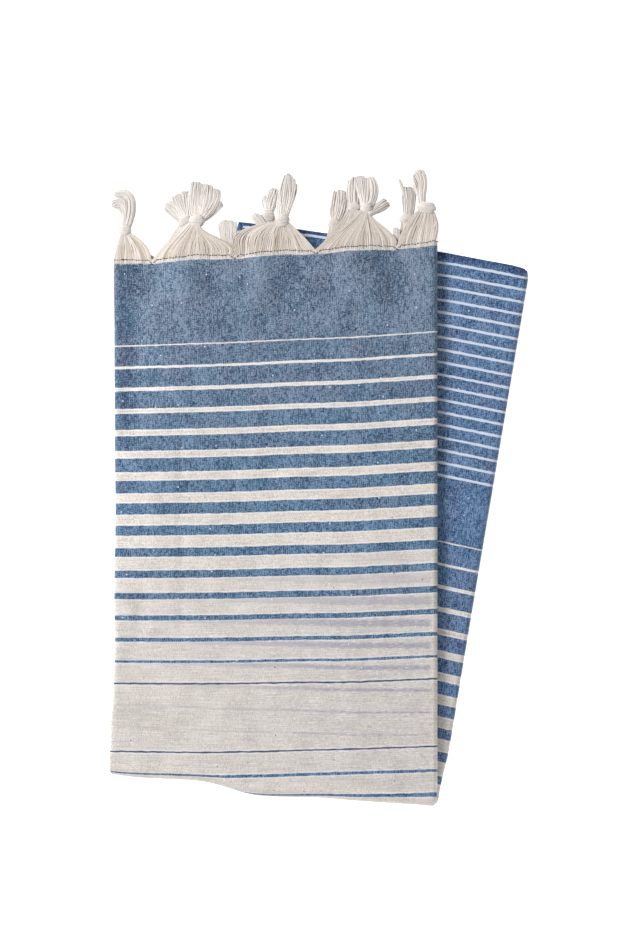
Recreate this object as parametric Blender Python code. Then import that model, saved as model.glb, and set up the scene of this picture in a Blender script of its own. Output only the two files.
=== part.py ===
"""Hammam towel: one flat-woven cotton cloth, folded to sixteen plies, with a knotted fringe.

The towel lies on the plane z = 0.  The fringe points to +Y, X runs across the folded towel and +Z is up
through its plies.  The origin is under the middle of the folded towel.  Lengths are in millimetres until
a mesh is made, and a place on the flat cloth is (u, v, w): u across it, v along it from the fringed hem
that shows, and w through its thickness.

The cloth is one slab of points.  Each fold is a map of space that turns all that lies beyond a line down
and back under the stack, and the four maps are applied one after the other:
  1  crosswise, near the middle of its length, the second hem lying inside and a little short,
  2  lengthwise, in half,
  3  lengthwise again, to a quarter of the width,
  4  crosswise on a slant, so that the lower half lies fanned out to the right under the upper half.
"""

import math

import bmesh
import bpy
from mathutils import Vector

MM = 0.001

# Flat cloth
CLOTH_WIDTH = 1000.0
CLOTH_THICK = 1.0
PLY_GAP = 0.4                 # air between two plies
FIRST_LEG = 855.0             # from the fringed hem to the crosswise fold
SECOND_LEG = 813.0            # from that fold to the second hem, which ends short of the first

# Folds: how far a bend bulges, as a share of a round one
BEND_BULGE = 0.7
SELVEDGE_STEP = 3.0           # the two selvedges stop this far inside the left folds
BENT_PLIES = (1, 2, 4, 8)     # plies in the stack that each fold turns under


def stack_height(plies):
    return plies * CLOTH_THICK + (plies - 1) * PLY_GAP


def bend_reach(plies):
    """How far the outer ply of a bend lies from the fold's axis."""
    return stack_height(plies) + PLY_GAP / 2


def bend_length(plies):
    """Cloth that the outer ply of a bend takes up."""
    return math.pi * bend_reach(plies) * (1 + BEND_BULGE) / 2


ARC_1, ARC_2, ARC_3, ARC_4 = (bend_length(plies) for plies in BENT_PLIES)
HALF_FOLD = (CLOTH_WIDTH - ARC_2) / 2                       # u where fold 2 starts
PANEL = (HALF_FOLD - ARC_3 + SELVEDGE_STEP) / 2             # width between the axes of folds 2 and 3
QUARTER_FOLD = HALF_FOLD - PANEL                            # u where fold 3 ends
CLOTH_LENGTH = FIRST_LEG + ARC_1 + SECOND_LEG
HALF_STACK = stack_height(8)
HALF_LIFT = HALF_STACK + PLY_GAP                            # height of the upper half above the floor

# Where the towel lies, before fold 4: both side folds, and how far the plies run along each
HEM_LEFT = (-155.6, 174.9)
HEM_RIGHT = (87.6, 188.8)
LEFT_PACE = 0.986             # distance run on the left side for each millimetre of cloth
RIGHT_PACE = 1.014
LEFT_SPREAD = -0.0085         # sideways drift of each side per millimetre, upper and lower half
LEFT_TAPER = 0.0175
RIGHT_TAPER = -0.042
HALF_WAY = 410.0
HEM_SAG = 2.4                 # the weft bows down between the side folds

# Fold 4: the two ends of the outline's lower edge
LOWER_LEFT = Vector((-160.8, -219.3))
LOWER_RIGHT = Vector((91.0, -245.5))
STEP_X = -70.0                # the lower edge steps down to the right of this place
STEP_RISE = 4.0
STEP_WIDTH = 24.0
STEP_FADE = 45.0              # how far up the cloth the step is felt
STEP_LEFT, STEP_RIGHT = 60.0, 120.0           # it runs out over these lengths towards the corners

# The lower half's outline, which holds the upper half up; past it the cloth sinks to the floor
BACK_TOP_LEFT = Vector((-61.4, 205.7))
BACK_TOP_RIGHT = Vector((160.7, 167.9))
SIDE_HOLD, SIDE_SINK = 16.0, 75.0             # the stack of plies is stiff and sinks slowly
FRINGE_HOLD, FRINGE_SINK = 4.0, 26.0          # the fringe is limp and sinks at once

# Long soft waves of the upper half: how many in each millimetre across and along, and their height
WAVES = (
    {"across": 1 / 118, "along": 0.0, "shift": 0.4, "height": 0.55},
    {"across": 1 / 260, "along": 1 / 190, "shift": 2.1, "height": 0.45},
)

# Grid of the cloth
PANEL_COLUMNS = (0.0, 0.12, 0.25, 0.40, 0.58, 0.79, 1.0)
BEND_STEPS = (3, 3, 4, 5)
UPPER_ROWS = 8
LOWER_ROWS = 5

# Fringe
TASSEL_PITCHES = 16           # knots along a hem, less one
PIECE_GAP = 0.35
ROOT_NEAR, ROOT_FAR = 0.35, 1.6               # root strip, measured out from the hem
ROOT_INSET = 0.1              # it is thinner than the cloth by this much on each face
CREAM = (0.86, 0.81, 0.72, 1.0)
BLUE = (0.12, 0.22, 0.40, 1.0)


def smooth_step(value):
    value = min(max(value, 0.0), 1.0)
    return value * value * (3 - 2 * value)


def fold_under(point, axis_point, beyond, plies):
    """Turn what lies beyond a line down and back under the stack of plies."""
    height = stack_height(plies)
    arc = bend_length(plies)
    reach = (point.x - axis_point[0]) * beyond[0] + (point.y - axis_point[1]) * beyond[1]
    lever = point.z + PLY_GAP / 2
    if reach <= 0:
        out, level = reach, lever
    elif reach < arc:
        angle = math.pi * reach / arc
        out, level = BEND_BULGE * lever * math.sin(angle), lever * math.cos(angle)
    else:
        out, level = arc - reach, -lever
    shift = out - reach
    return Vector((point.x + shift * beyond[0], point.y + shift * beyond[1],
                   level + height + PLY_GAP / 2))


def strip_point(u, v, w):
    """A place on the flat cloth, after folds 1 to 3: across from fold 2, along from the hem, up."""
    point = Vector((-u, -v, w))
    point = fold_under(point, (0, -FIRST_LEG), (0, -1), 1)
    point = fold_under(point, (-HALF_FOLD, 0), (-1, 0), 2)
    point = fold_under(point, (-QUARTER_FOLD, 0), (1, 0), 4)
    return point.x + HALF_FOLD, -point.y, point.z


def laid_point(across, along):
    """Where a place on the folded strip lies in plan, while the strip is still open at fold 4."""
    share = across / PANEL
    upper = min(along, HALF_WAY)
    lower = max(along - HALF_WAY, 0.0)
    left = HEM_LEFT[0] + LEFT_SPREAD * upper + LEFT_TAPER * lower
    right = HEM_RIGHT[0] + RIGHT_TAPER * lower
    left_y = HEM_LEFT[1] - LEFT_PACE * along
    right_y = HEM_RIGHT[1] - RIGHT_PACE * along
    inside = min(max(share, 0.0), 1.0)
    sag = HEM_SAG * math.sin(math.pi * inside)
    return Vector((left + (right - left) * share, left_y + (right_y - left_y) * share - sag))


def slant_fold():
    """A point on fold 4's axis, and the direction beyond it."""
    edge = (LOWER_RIGHT - LOWER_LEFT).normalized()
    beyond = Vector((edge.y, -edge.x))
    return LOWER_LEFT - beyond * BEND_BULGE * bend_reach(8), beyond


SLANT_POINT, SLANT_BEYOND = slant_fold()


def outside(plan, start, end):
    """Distance of a place to the left of the line from start to end."""
    edge = (end - start).normalized()
    gap = plan - start
    return edge.x * gap.y - edge.y * gap.x


def support(plan):
    """Height of what the upper half lies on: the lower half, or to the left of it the floor."""
    aside = outside(plan, LOWER_LEFT, BACK_TOP_LEFT)
    return HALF_LIFT * (1 - smooth_step((aside - SIDE_HOLD) / SIDE_SINK))


def fringe_support(plan):
    """The same for the fringe, which also sinks past the hem and the lower half's upper edge."""
    past = max(outside(plan, BACK_TOP_LEFT, BACK_TOP_RIGHT),
               outside(plan, Vector(HEM_LEFT), BACK_TOP_LEFT))
    return support(plan) * (1 - smooth_step((past - FRINGE_HOLD) / FRINGE_SINK))


def wave(plan):
    return sum(row["height"] * (1 + math.sin(math.tau * (plan.x * row["across"] + plan.y * row["along"])
                                             + row["shift"])) for row in WAVES)


def upper_lift(plan, above):
    """How far the upper half is lifted off the floor, at this height above its own underside."""
    held = support(plan)
    return held + wave(plan) * max(above, 0.0) / HALF_STACK * held / HALF_LIFT


def lower_edge_step(plan):
    """The lower edge is folded in two lengths, the right-hand one a little longer."""
    near = math.exp(-((plan - LOWER_LEFT).dot(SLANT_BEYOND) / STEP_FADE) ** 2)
    side = math.tanh((plan.x - STEP_X) / STEP_WIDTH)
    from_left = smooth_step((plan.x - LOWER_LEFT.x) / STEP_LEFT)
    from_right = smooth_step((LOWER_RIGHT.x - plan.x) / STEP_RIGHT)
    return STEP_RISE * near * side * from_left * from_right


def place(u, v, w):
    """Where a place on the flat cloth lies in the folded towel."""
    across, along, height = strip_point(u, v, w)
    plan = laid_point(across, along)
    point = fold_under(Vector((plan.x, plan.y, height)), SLANT_POINT, SLANT_BEYOND, 8)
    plan = Vector((point.x, point.y))
    above = point.z - HALF_LIFT
    if above > -PLY_GAP / 2:
        point.z = above + upper_lift(plan, above)
    point.y -= lower_edge_step(plan)
    return point


# ---------------------------------------------------------------- cloth

def column_stations():
    """Places of the grid's columns across the flat cloth, closer together at each fold."""
    panel = [PANEL * share for share in PANEL_COLUMNS]
    outer = [QUARTER_FOLD - ARC_3 - PANEL + x for x in panel[1:]]
    quarter = [QUARTER_FOLD - ARC_3 + ARC_3 * step / BEND_STEPS[2] for step in range(1, BEND_STEPS[2])]
    inner = [HALF_FOLD - x for x in reversed(panel)]
    half = [0.0] + outer + quarter + inner
    middle = [HALF_FOLD + ARC_2 * step / BEND_STEPS[1] for step in range(1, BEND_STEPS[1])]
    return half + middle + [CLOTH_WIDTH - u for u in reversed(half)]


COLUMNS = column_stations()


def slant_rows(u):
    """Distance along the strip at which fold 4 starts in this column, and the cloth it takes up."""
    across = strip_point(u, 0, 0)[0]
    start = (laid_point(across, 0) - SLANT_POINT).dot(SLANT_BEYOND)
    end = (laid_point(across, HALF_WAY) - SLANT_POINT).dot(SLANT_BEYOND)
    pace = (end - start) / HALF_WAY
    return -start / pace, ARC_4 / pace


def row_stations(u):
    """Places of the grid's rows along the flat cloth, in one column."""
    bend, taken = slant_rows(u)
    bend_rows = [bend + taken * step / BEND_STEPS[3] for step in range(BEND_STEPS[3] + 1)]
    bent = bend + taken
    far = [bent + (FIRST_LEG - bent) * step / LOWER_ROWS for step in range(1, LOWER_ROWS + 1)]
    short = FIRST_LEG - SECOND_LEG
    near = [short + (bend - short) * step / UPPER_ROWS for step in range(UPPER_ROWS)]
    leg = near + bend_rows + far
    turn = [FIRST_LEG + ARC_1 * step / BEND_STEPS[0] for step in range(1, BEND_STEPS[0])]
    return [0.0] + leg + turn + [2 * FIRST_LEG + ARC_1 - v for v in reversed(leg)]


def cloth_mesh():
    rows = [row_stations(u) for u in COLUMNS]
    flat = [(u, rows[i][j]) for j in range(len(rows[0])) for i, u in enumerate(COLUMNS)]
    shape = bmesh.new()
    bmesh.ops.create_grid(shape, x_segments=len(COLUMNS) - 1, y_segments=len(rows[0]) - 1, size=1.0)
    shape.verts.ensure_lookup_table()
    spots = {tuple(vert.co.xy): flat[index] for index, vert in enumerate(shape.verts)}
    grown = bmesh.ops.extrude_face_region(shape, geom=list(shape.faces))
    upper = [item for item in grown["geom"] if isinstance(item, bmesh.types.BMVert)]
    bmesh.ops.translate(shape, verts=upper, vec=(0, 0, 1))
    bmesh.ops.recalc_face_normals(shape, faces=shape.faces)
    for vert in shape.verts:
        vert.co = place(*spots[tuple(vert.co.xy)], CLOTH_THICK * vert.co.z) * MM
    bmesh.ops.triangulate(shape, faces=shape.faces, quad_method='SHORT_EDGE')
    return shape


# ---------------------------------------------------------------- fringe

# One row for each tassel: where along its hem it is knotted, the part of its pitch that its skirt covers,
# the knot's place and half sizes, and its tails, each a path to the tip with its half width there.
# Heights are above what the tassel lies on.  Those of the front ply lie on those of the ply under it.
TASSELS = (
    {"name": "tassel_front_1", "knot_at": 8, "skirt": (-0.5, 0.5), "locks": 9,
     "knot": (-150.0, 198.3, 5.6), "size": (5.4, 3.6, 2.4),
     "tails": ({"by": (-145.6, 222.0, 3.0), "tip": (-158.8, 222.6, 0.6), "half": 3.8, "locks": 5},)},
    {"name": "tassel_front_2", "knot_at": 7, "skirt": (-0.5, 0.5), "locks": 9,
     "knot": (-93.8, 205.2, 10.6), "size": (5.2, 4.0, 2.2),
     "tails": ({"by": (-91.5, 219.0, 5.0), "tip": (-87.4, 230.6, 0.6), "half": 10.5, "locks": 8},)},
    {"name": "tassel_front_3", "knot_at": 6, "skirt": (-0.5, 0.5), "locks": 9,
     "knot": (-28.3, 205.6, 10.6), "size": (5.0, 4.6, 2.2),
     "tails": ({"by": (-24.9, 223.0, 5.0), "tip": (-21.4, 240.0, 0.6), "half": 4.8, "locks": 5},)},
    {"name": "tassel_front_4", "knot_at": 5, "skirt": (-0.5, 0.5), "locks": 9,
     "knot": (36.0, 214.0, 10.6), "size": (5.2, 4.2, 2.2),
     "tails": ({"by": (38.8, 226.0, 5.0), "tip": (39.6, 239.6, 0.6), "half": 4.2, "locks": 4},
               {"by": (45.0, 217.0, 7.0), "tip": (53.2, 222.0, 3.0), "half": 2.6, "locks": 2},)},
    {"name": "tassel_front_5", "knot_at": 4, "skirt": (0.05, 0.5), "locks": 7,
     "knot": (82.2, 215.4, 10.0), "size": (6.4, 4.4, 2.3),
     "tails": ({"by": (80.6, 238.0, 4.0), "tip": (73.0, 242.6, 0.6), "half": 4.4, "locks": 5},)},
    {"name": "tassel_second_1", "knot_at": 9, "skirt": (-0.5, 0.5), "locks": 7,
     "knot": (-101.8, 203.0, 6.4), "size": (5.0, 3.8, 1.8),
     "tails": ({"by": (-106.0, 213.0, 3.0), "tip": (-111.2, 222.4, 0.6), "half": 6.2, "locks": 6},)},
    {"name": "tassel_second_2", "knot_at": 10, "skirt": (-0.5, 0.5), "locks": 7,
     "knot": (-39.4, 208.2, 6.4), "size": (4.8, 4.6, 1.8),
     "tails": ({"by": (-38.0, 219.0, 3.0), "tip": (-35.4, 229.2, 0.6), "half": 3.8, "locks": 4},)},
    {"name": "tassel_second_3", "knot_at": 11, "skirt": (-0.5, 0.5), "locks": 7,
     "knot": (27.0, 213.6, 6.4), "size": (4.8, 3.8, 1.8),
     "tails": ({"by": (27.4, 227.0, 3.0), "tip": (29.2, 241.0, 0.6), "half": 3.8, "locks": 4},)},
    {"name": "tassel_second_4", "knot_at": 12, "skirt": (-0.5, 0.5), "locks": 7,
     "knot": (67.9, 205.6, 5.6), "size": (5.6, 4.0, 1.9),
     "tails": ({"by": (68.3, 218.0, 3.0), "tip": (69.2, 231.0, 0.6), "half": 4.6, "locks": 5},)},
    {"name": "tassel_third_1", "knot_at": 13, "skirt": (-0.5, 0.5), "locks": 6,
     "knot": (13.2, 203.0, 3.6), "size": (4.8, 4.4, 1.9),
     "tails": ({"by": (15.0, 215.0, 2.0), "tip": (17.8, 229.0, 0.6), "half": 5.6, "locks": 5},)},
    {"name": "tassel_third_2", "knot_at": 14, "skirt": (-0.5, 0.5), "locks": 4,
     "knot": (-30.0, 189.0, 3.6), "size": (4.2, 3.4, 0.9),
     "tails": ({"by": (-24.0, 196.0, 3.6), "tip": (-14.0, 192.0, 3.6), "half": 2.0, "locks": 3},)},
    {"name": "tassel_third_3", "knot_at": 15, "skirt": (-0.5, 0.5), "locks": 4,
     "knot": (-99.0, 188.0, 3.6), "size": (4.2, 3.4, 0.9),
     "tails": ({"by": (-94.0, 195.0, 3.6), "tip": (-84.0, 190.0, 3.6), "half": 2.0, "locks": 3},)},
    {"name": "tassel_third_4", "knot_at": 16, "skirt": (-0.5, 0.0), "locks": 3,
     "knot": (-146.0, 186.0, 3.4), "size": (4.0, 3.2, 0.8),
     "tails": ({"by": (-143.0, 190.0, 3.4), "tip": (-139.0, 182.0, 3.4), "half": 1.6, "locks": 2},)},
    {"name": "tassel_last_1", "knot_at": 3, "skirt": (-0.5, 0.5), "locks": 4,
     "knot": (36.0, 194.0, 1.3), "size": (4.2, 3.4, 1.1),
     "tails": ({"by": (42.0, 202.0, 1.0), "tip": (50.0, 195.0, 1.0), "half": 2.0, "locks": 3},)},
    {"name": "tassel_last_2", "knot_at": 2, "skirt": (-0.5, 0.5), "locks": 4,
     "knot": (-36.0, 188.0, 1.3), "size": (4.2, 3.4, 1.1),
     "tails": ({"by": (-30.0, 195.0, 1.0), "tip": (-22.0, 190.0, 1.0), "half": 2.0, "locks": 3},)},
    {"name": "tassel_last_3", "knot_at": 1, "skirt": (-0.5, 0.5), "locks": 4,
     "knot": (-92.0, 187.0, 1.3), "size": (4.2, 3.4, 1.1),
     "tails": ({"by": (-86.0, 194.0, 1.0), "tip": (-77.0, 189.0, 1.0), "half": 2.0, "locks": 3},)},
    {"name": "tassel_last_4", "knot_at": 0, "skirt": (0.0, 0.5), "locks": 3,
     "knot": (-147.0, 185.0, 1.2), "size": (4.0, 3.2, 1.0),
     "tails": ({"by": (-144.0, 189.0, 0.8), "tip": (-140.0, 181.0, 0.8), "half": 1.6, "locks": 2},)},
    {"name": "tassel_inner_1", "knot_at": 7, "skirt": (-0.5, 0.1), "locks": 5, "second_hem": True,
     "knot": (-68.6, 173.0, 7.8), "size": (4.4, 4.0, 0.8),
     "tails": ({"by": (-67.6, 187.0, 8.2), "tip": (-69.9, 204.6, 7.6), "half": 7.0, "locks": 6},)},
    {"name": "tassel_inner_2", "knot_at": 6, "skirt": (-0.3, 0.3), "locks": 5, "second_hem": True,
     "knot": (-36.0, 176.0, 8.0), "size": (4.4, 4.0, 0.8),
     "tails": ({"by": (-41.0, 189.0, 8.3), "tip": (-49.4, 204.4, 8.6), "half": 2.8, "locks": 3},)},
    {"name": "tassel_inner_3", "knot_at": 5, "skirt": (-0.5, 0.1), "locks": 5, "second_hem": True,
     "knot": (62.0, 175.0, 7.8), "size": (4.4, 4.0, 0.8),
     "tails": ({"by": (62.0, 188.0, 7.9), "tip": (58.4, 199.6, 7.6), "half": 2.6, "locks": 3},)},
)

SKIRT_FILL = 0.42             # half width of a lock for the distance to the next one
TAIL_FILL = 0.84
STEEPEST_ROOT = 0.5           # a root steeper than this is in a side fold and is made level
INNER_FILL = 0.22             # locks between two plies are narrow
LOCK_HEIGHT = 0.8
TAIL_HEIGHT = 1.2
LOCK_STAGGER = 0.07           # no two neighbours are quite as thick
KNOT_ENTRY = 0.62             # how far out on its knot the outer lock of a skirt goes in
ENTRY_FILL = 0.8              # how full of locks the knot is there
DRAW_IN = 1.35                # a skirt narrows faster than it runs, like a funnel
TAIL_WAIST = 0.45             # width of a tail as it leaves the knot, for its full width
TAIL_SPREAD = 1.25            # it is as wide as it gets this much before its end
UNEVEN_ENDS = (0.0, 0.07, 0.14)               # how much shorter each lock of a tail is, in turn
ROUND_END = 0.08              # how much shorter its outer locks are
SKIRT_STEPS = 2
TAIL_STEPS = 3
KNOT_SIDES, KNOT_RINGS = 8, 5


def hem_station(row, out):
    """Distance along the cloth of a place this far out from the tassel's hem."""
    return CLOTH_LENGTH + out if row.get("second_hem") else -out


def hem_place(row, u, out, w):
    """A place this far out from a hem, in line with the cloth's own flat faces."""
    after = next(index for index, column in enumerate(COLUMNS) if column >= u and index > 0)
    left, right = COLUMNS[after - 1], COLUMNS[after]
    v = hem_station(row, out)
    return place(left, v, w).lerp(place(right, v, w), (u - left) / (right - left))


def skirt_span(row):
    """The stretch of the hem that a tassel's skirt covers."""
    pitch = CLOTH_WIDTH / TASSEL_PITCHES
    first = (row["knot_at"] + row["skirt"][0]) * pitch
    last = (row["knot_at"] + row["skirt"][1]) * pitch
    return max(first, 0.0) + PIECE_GAP, min(last, CLOTH_WIDTH) - PIECE_GAP


def lifted(row, x, y, lane):
    """A place of a tassel, at this height above what it lies on."""
    plan = Vector((x, y))
    if row.get("second_hem"):
        return Vector((x, y, lane + upper_lift(plan, lane)))
    return Vector((x, y, lane + fringe_support(plan)))


def skin(rings):
    """A closed body through a row of rings of corners."""
    shape = bmesh.new()
    loops = [[shape.verts.new(corner * MM) for corner in ring] for ring in rings]
    count = len(loops[0])
    for near, far in zip(loops, loops[1:]):
        for corner in range(count):
            following = (corner + 1) % count
            shape.faces.new((near[corner], near[following], far[following], far[corner]))
    shape.faces.new(reversed(loops[0]))
    shape.faces.new(loops[-1])
    bmesh.ops.recalc_face_normals(shape, faces=shape.faces)
    return shape


def lock_mesh(path, height):
    """A three-sided lock of yarn, flat underneath, along a path of places and half widths."""
    rise = Vector((0, 0, height / 2))
    return skin([(spot - side - rise, spot + side - rise, spot + rise) for spot, side in path])


def root_mesh(row):
    """The narrow strip that holds the roots of a skirt, just off the hem."""
    first, last = skirt_span(row)
    low, high = ROOT_INSET, CLOTH_THICK - ROOT_INSET
    corners = ((ROOT_NEAR, low), (ROOT_FAR, low), (ROOT_FAR, high), (ROOT_NEAR, high))
    between = [u for u in COLUMNS if first + PIECE_GAP < u < last - PIECE_GAP]
    return skin([[hem_place(row, u, out, w) for out, w in corners] for u in [first] + between + [last]])


def knot_mesh(centre, size):
    """A knot, fullest round its waist."""
    shape = bmesh.new()
    bmesh.ops.create_uvsphere(shape, u_segments=KNOT_SIDES, v_segments=KNOT_RINGS, radius=1.0)
    bmesh.ops.scale(shape, verts=shape.verts, vec=Vector(size) * MM)
    bmesh.ops.translate(shape, verts=shape.verts, vec=centre * MM)
    return shape


def skirt_paths(row):
    """Each lock of a skirt, from its root in the strip to the knot."""
    first, last = skirt_span(row)
    knot = Vector(row["knot"])
    spacing = (last - first) / row["locks"]
    fill = INNER_FILL if row.get("second_hem") else SKIRT_FILL
    middle = ((ROOT_NEAR + ROOT_FAR) / 2, CLOTH_THICK / 2)
    paths = []
    for index in range(row["locks"]):
        u = first + spacing * (index + 0.5)
        root = hem_place(row, u, *middle)
        along = hem_place(row, u + 1, *middle) - hem_place(row, u - 1, *middle)
        level = Vector((along.x, along.y, 0))
        if abs(along.z) < level.length * STEEPEST_ROOT:
            level.z = along.z
        side = level / 2 * spacing * fill
        lane = root.z - lifted(row, root.x, root.y, 0).z
        outermost = 1 - 2 * min(index + 0.5, row["locks"] - index - 0.5) / row["locks"]
        entry = row["size"][0] * KNOT_ENTRY * math.copysign(outermost, root.x - knot.x)
        narrow = side.normalized() * row["size"][0] * KNOT_ENTRY / row["locks"] * ENTRY_FILL
        path = [(root, side)]
        for step in range(1, SKIRT_STEPS + 1):
            t = step / SKIRT_STEPS
            drawn = 1 - (1 - t) ** DRAW_IN
            x = root.x + (knot.x + entry - root.x) * drawn
            y = root.y + (knot.y - root.y) * t
            spot = lifted(row, x, y, lane + (knot.z - lane) * smooth_step(t))
            path.append((spot, side * (1 - drawn) + narrow * drawn))
        paths.append(path)
    return paths


def tail_paths(row, tail):
    """Each lock of a tail, from inside the knot to its loose end."""
    knot, by, tip = Vector(row["knot"]), Vector(tail["by"]), Vector(tail["tip"])
    paths = []
    for index in range(tail["locks"]):
        fan = 2 * (index + 0.5) / tail["locks"] - 1
        length = 1 - UNEVEN_ENDS[index % len(UNEVEN_ENDS)] - ROUND_END * abs(fan)
        path = []
        for step in range(TAIL_STEPS + 1):
            t = length * step / TAIL_STEPS
            spot = knot * (1 - t) ** 2 + by * 2 * t * (1 - t) + tip * t ** 2
            run = (by - knot) * (1 - t) + (tip - by) * t
            across = Vector((run.y, -run.x, 0)).normalized()
            opened = math.sin(min(t * TAIL_SPREAD, 1.0) * math.pi / 2)
            half = tail["half"] * (TAIL_WAIST + (1 - TAIL_WAIST) * opened)
            spot = spot + across * half * fan
            path.append((lifted(row, spot.x, spot.y, spot.z), across * half / tail["locks"] * TAIL_FILL))
        paths.append(path)
    return paths


def tassel_locks(row):
    """Meshes of all the locks of one tassel."""
    locks = [lock_mesh(path, LOCK_HEIGHT + LOCK_STAGGER * (index % 3))
             for index, path in enumerate(skirt_paths(row))]
    height = min(TAIL_HEIGHT, row["size"][2])
    for tail in row["tails"]:
        locks += [lock_mesh(path, height + LOCK_STAGGER * (index % 3))
                  for index, path in enumerate(tail_paths(row, tail))]
    return locks


# ---------------------------------------------------------------- objects

def clear_scene():
    for item in list(bpy.data.objects):
        bpy.data.objects.remove(item, do_unlink=True)


def make_material(name, colour, roughness):
    material = bpy.data.materials.new(name)
    material.use_nodes = True
    shader = material.node_tree.nodes["Principled BSDF"]
    shader.inputs["Base Color"].default_value = colour
    shader.inputs["Roughness"].default_value = roughness
    shader.inputs["Metallic"].default_value = 0.0
    return material


def make_object(name, shape, material=None):
    mesh = bpy.data.meshes.new(name)
    shape.to_mesh(mesh)
    shape.free()
    item = bpy.data.objects.new(name, mesh)
    if material:
        mesh.materials.append(material)
    return item


def add_tassel(row):
    """One tassel: root strip, skirt, knot and tails, made one body round the knot."""
    name = row["name"]
    material = make_material(name + "_cotton", CREAM, 0.9)
    x, y, lane = row["knot"]
    knot = make_object(name, knot_mesh(lifted(row, x, y, lane), row["size"]), material)
    bpy.context.scene.collection.objects.link(knot)
    parts = bpy.data.collections.new(name + "_locks")
    bpy.context.scene.collection.children.link(parts)
    for index, shape in enumerate([root_mesh(row)] + tassel_locks(row)):
        piece = make_object(f"{name}_piece_{index}", shape)
        piece.hide_render = True
        piece.display_type = 'WIRE'
        parts.objects.link(piece)
    join = knot.modifiers.new("join", 'BOOLEAN')
    join.operation = 'UNION'
    join.operand_type = 'COLLECTION'
    join.collection = parts
    join.solver = 'EXACT'


def main():
    clear_scene()
    cloth = make_object("towel_cloth", cloth_mesh(), make_material("woven_cotton", BLUE, 0.9))
    bpy.context.scene.collection.objects.link(cloth)
    for row in TASSELS:
        add_tassel(row)


main()
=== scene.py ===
"""Looks of the hammam towel: a blue and cream flat weave, folded to sixteen plies, with a knotted fringe.

Lengths are in millimetres until a mesh is made.  A place on the flat cloth is (u, v, w): u across it,
v along it from the fringed hem that shows, w through its thickness.  The folds are those of the solids.
"""

import math
from functools import partial
from typing import NamedTuple

import bmesh
import bpy
import numpy as np
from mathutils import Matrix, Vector


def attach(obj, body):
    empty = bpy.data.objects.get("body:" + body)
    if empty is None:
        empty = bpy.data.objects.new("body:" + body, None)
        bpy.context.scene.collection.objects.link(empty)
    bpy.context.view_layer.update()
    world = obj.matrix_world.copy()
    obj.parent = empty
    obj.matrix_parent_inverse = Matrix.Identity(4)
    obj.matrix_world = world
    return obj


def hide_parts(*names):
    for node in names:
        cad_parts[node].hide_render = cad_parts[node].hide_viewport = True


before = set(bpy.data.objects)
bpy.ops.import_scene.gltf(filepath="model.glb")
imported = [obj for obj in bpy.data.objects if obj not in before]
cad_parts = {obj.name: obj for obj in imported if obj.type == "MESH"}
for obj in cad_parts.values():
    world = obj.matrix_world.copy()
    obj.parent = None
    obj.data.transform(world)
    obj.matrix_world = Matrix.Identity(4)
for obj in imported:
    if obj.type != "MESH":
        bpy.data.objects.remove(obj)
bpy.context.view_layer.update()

MM = 0.001
TINY = 1e-9  # keeps a length that is divided by above nothing

# ---------------- sizes shared with the solids

CLOTH_WIDTH = 1000.0
CLOTH_THICK = 1.0
PLY_GAP = 0.4
FIRST_LEG = 855.0
SECOND_LEG = 813.0
BEND_BULGE = 0.7
SELVEDGE_STEP = 3.0
BENT_PLIES = (1, 2, 4, 8)


def stack_height(plies):
    return plies * CLOTH_THICK + (plies - 1) * PLY_GAP


def bend_reach(plies):
    """How far the outer ply of a bend lies from the fold's axis."""
    return stack_height(plies) + PLY_GAP / 2


def bend_length(plies):
    """Cloth that the outer ply of a bend takes up."""
    return math.pi * bend_reach(plies) * (1 + BEND_BULGE) / 2


ARC_1, ARC_2, ARC_3, ARC_4 = (bend_length(plies) for plies in BENT_PLIES)
HALF_FOLD = (CLOTH_WIDTH - ARC_2) / 2
PANEL = (HALF_FOLD - ARC_3 + SELVEDGE_STEP) / 2
QUARTER_FOLD = HALF_FOLD - PANEL
CLOTH_LENGTH = FIRST_LEG + ARC_1 + SECOND_LEG
HALF_STACK = stack_height(8)
HALF_LIFT = HALF_STACK + PLY_GAP

HEM_LEFT = np.array((-155.6, 174.9))
HEM_RIGHT = np.array((87.6, 188.8))
LEFT_PACE, RIGHT_PACE = 0.986, 1.014
LEFT_SPREAD, LEFT_TAPER, RIGHT_TAPER = -0.0085, 0.0175, -0.042
HALF_WAY = 410.0
HEM_SAG = 2.4

LOWER_LEFT = np.array((-160.8, -219.3))
LOWER_RIGHT = np.array((91.0, -245.5))
STEP_FADE = 45.0

BACK_TOP_LEFT = np.array((-61.4, 205.7))
BACK_TOP_RIGHT = np.array((160.7, 167.9))
SIDE_HOLD, SIDE_SINK = 16.0, 75.0
FRINGE_HOLD, FRINGE_SINK = 4.0, 26.0

WAVES = (
    {"across": 1 / 118, "along": 0.0, "shift": 0.4, "height": 0.55},
    {"across": 1 / 260, "along": 1 / 190, "shift": 2.1, "height": 0.45},
)

# ---------------- the finer forms of the cloth


class Crease(NamedTuple):
    """A press crease or soft lump: its run in plan, the width to where it sinks to a third, its height."""
    start: tuple
    end: tuple
    wide: float
    height: float


# Those of the upper half; a trough's height is negative.  They shape the cloth, and also set its painted
# shade in the troughs and painted light on the lumps
CREASES = (
    Crease((-153, 172), (-150, 44), 11, -1.8),
    Crease((-140, 166), (-139, 156), 8, -1.4),
    Crease((-131, 0), (-130, -110), 5, 0.68),
    Crease((-107, 30), (-106, -112), 3, -0.94),
    Crease((-140, -84), (-143, -120), 5, -1),
    Crease((-88, 164), (-85, 148), 8, -1.4),
    Crease((-24, 172), (-26, 150), 13, -1.5),
    Crease((49, 176), (55, 146), 10, -1.7),
    Crease((-111, 168), (-108, 148), 8, 1.2),
    Crease((-48, 172), (-48, 150), 8, 1.4),
    Crease((20, 176), (20, 152), 8, 1.4),
    Crease((72, 178), (73, 156), 8, 1),
    Crease((-150, -174), (-112, -190), 12, -1.0),
    Crease((96, 150), (60, 128), 14, 1.0),
)

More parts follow.
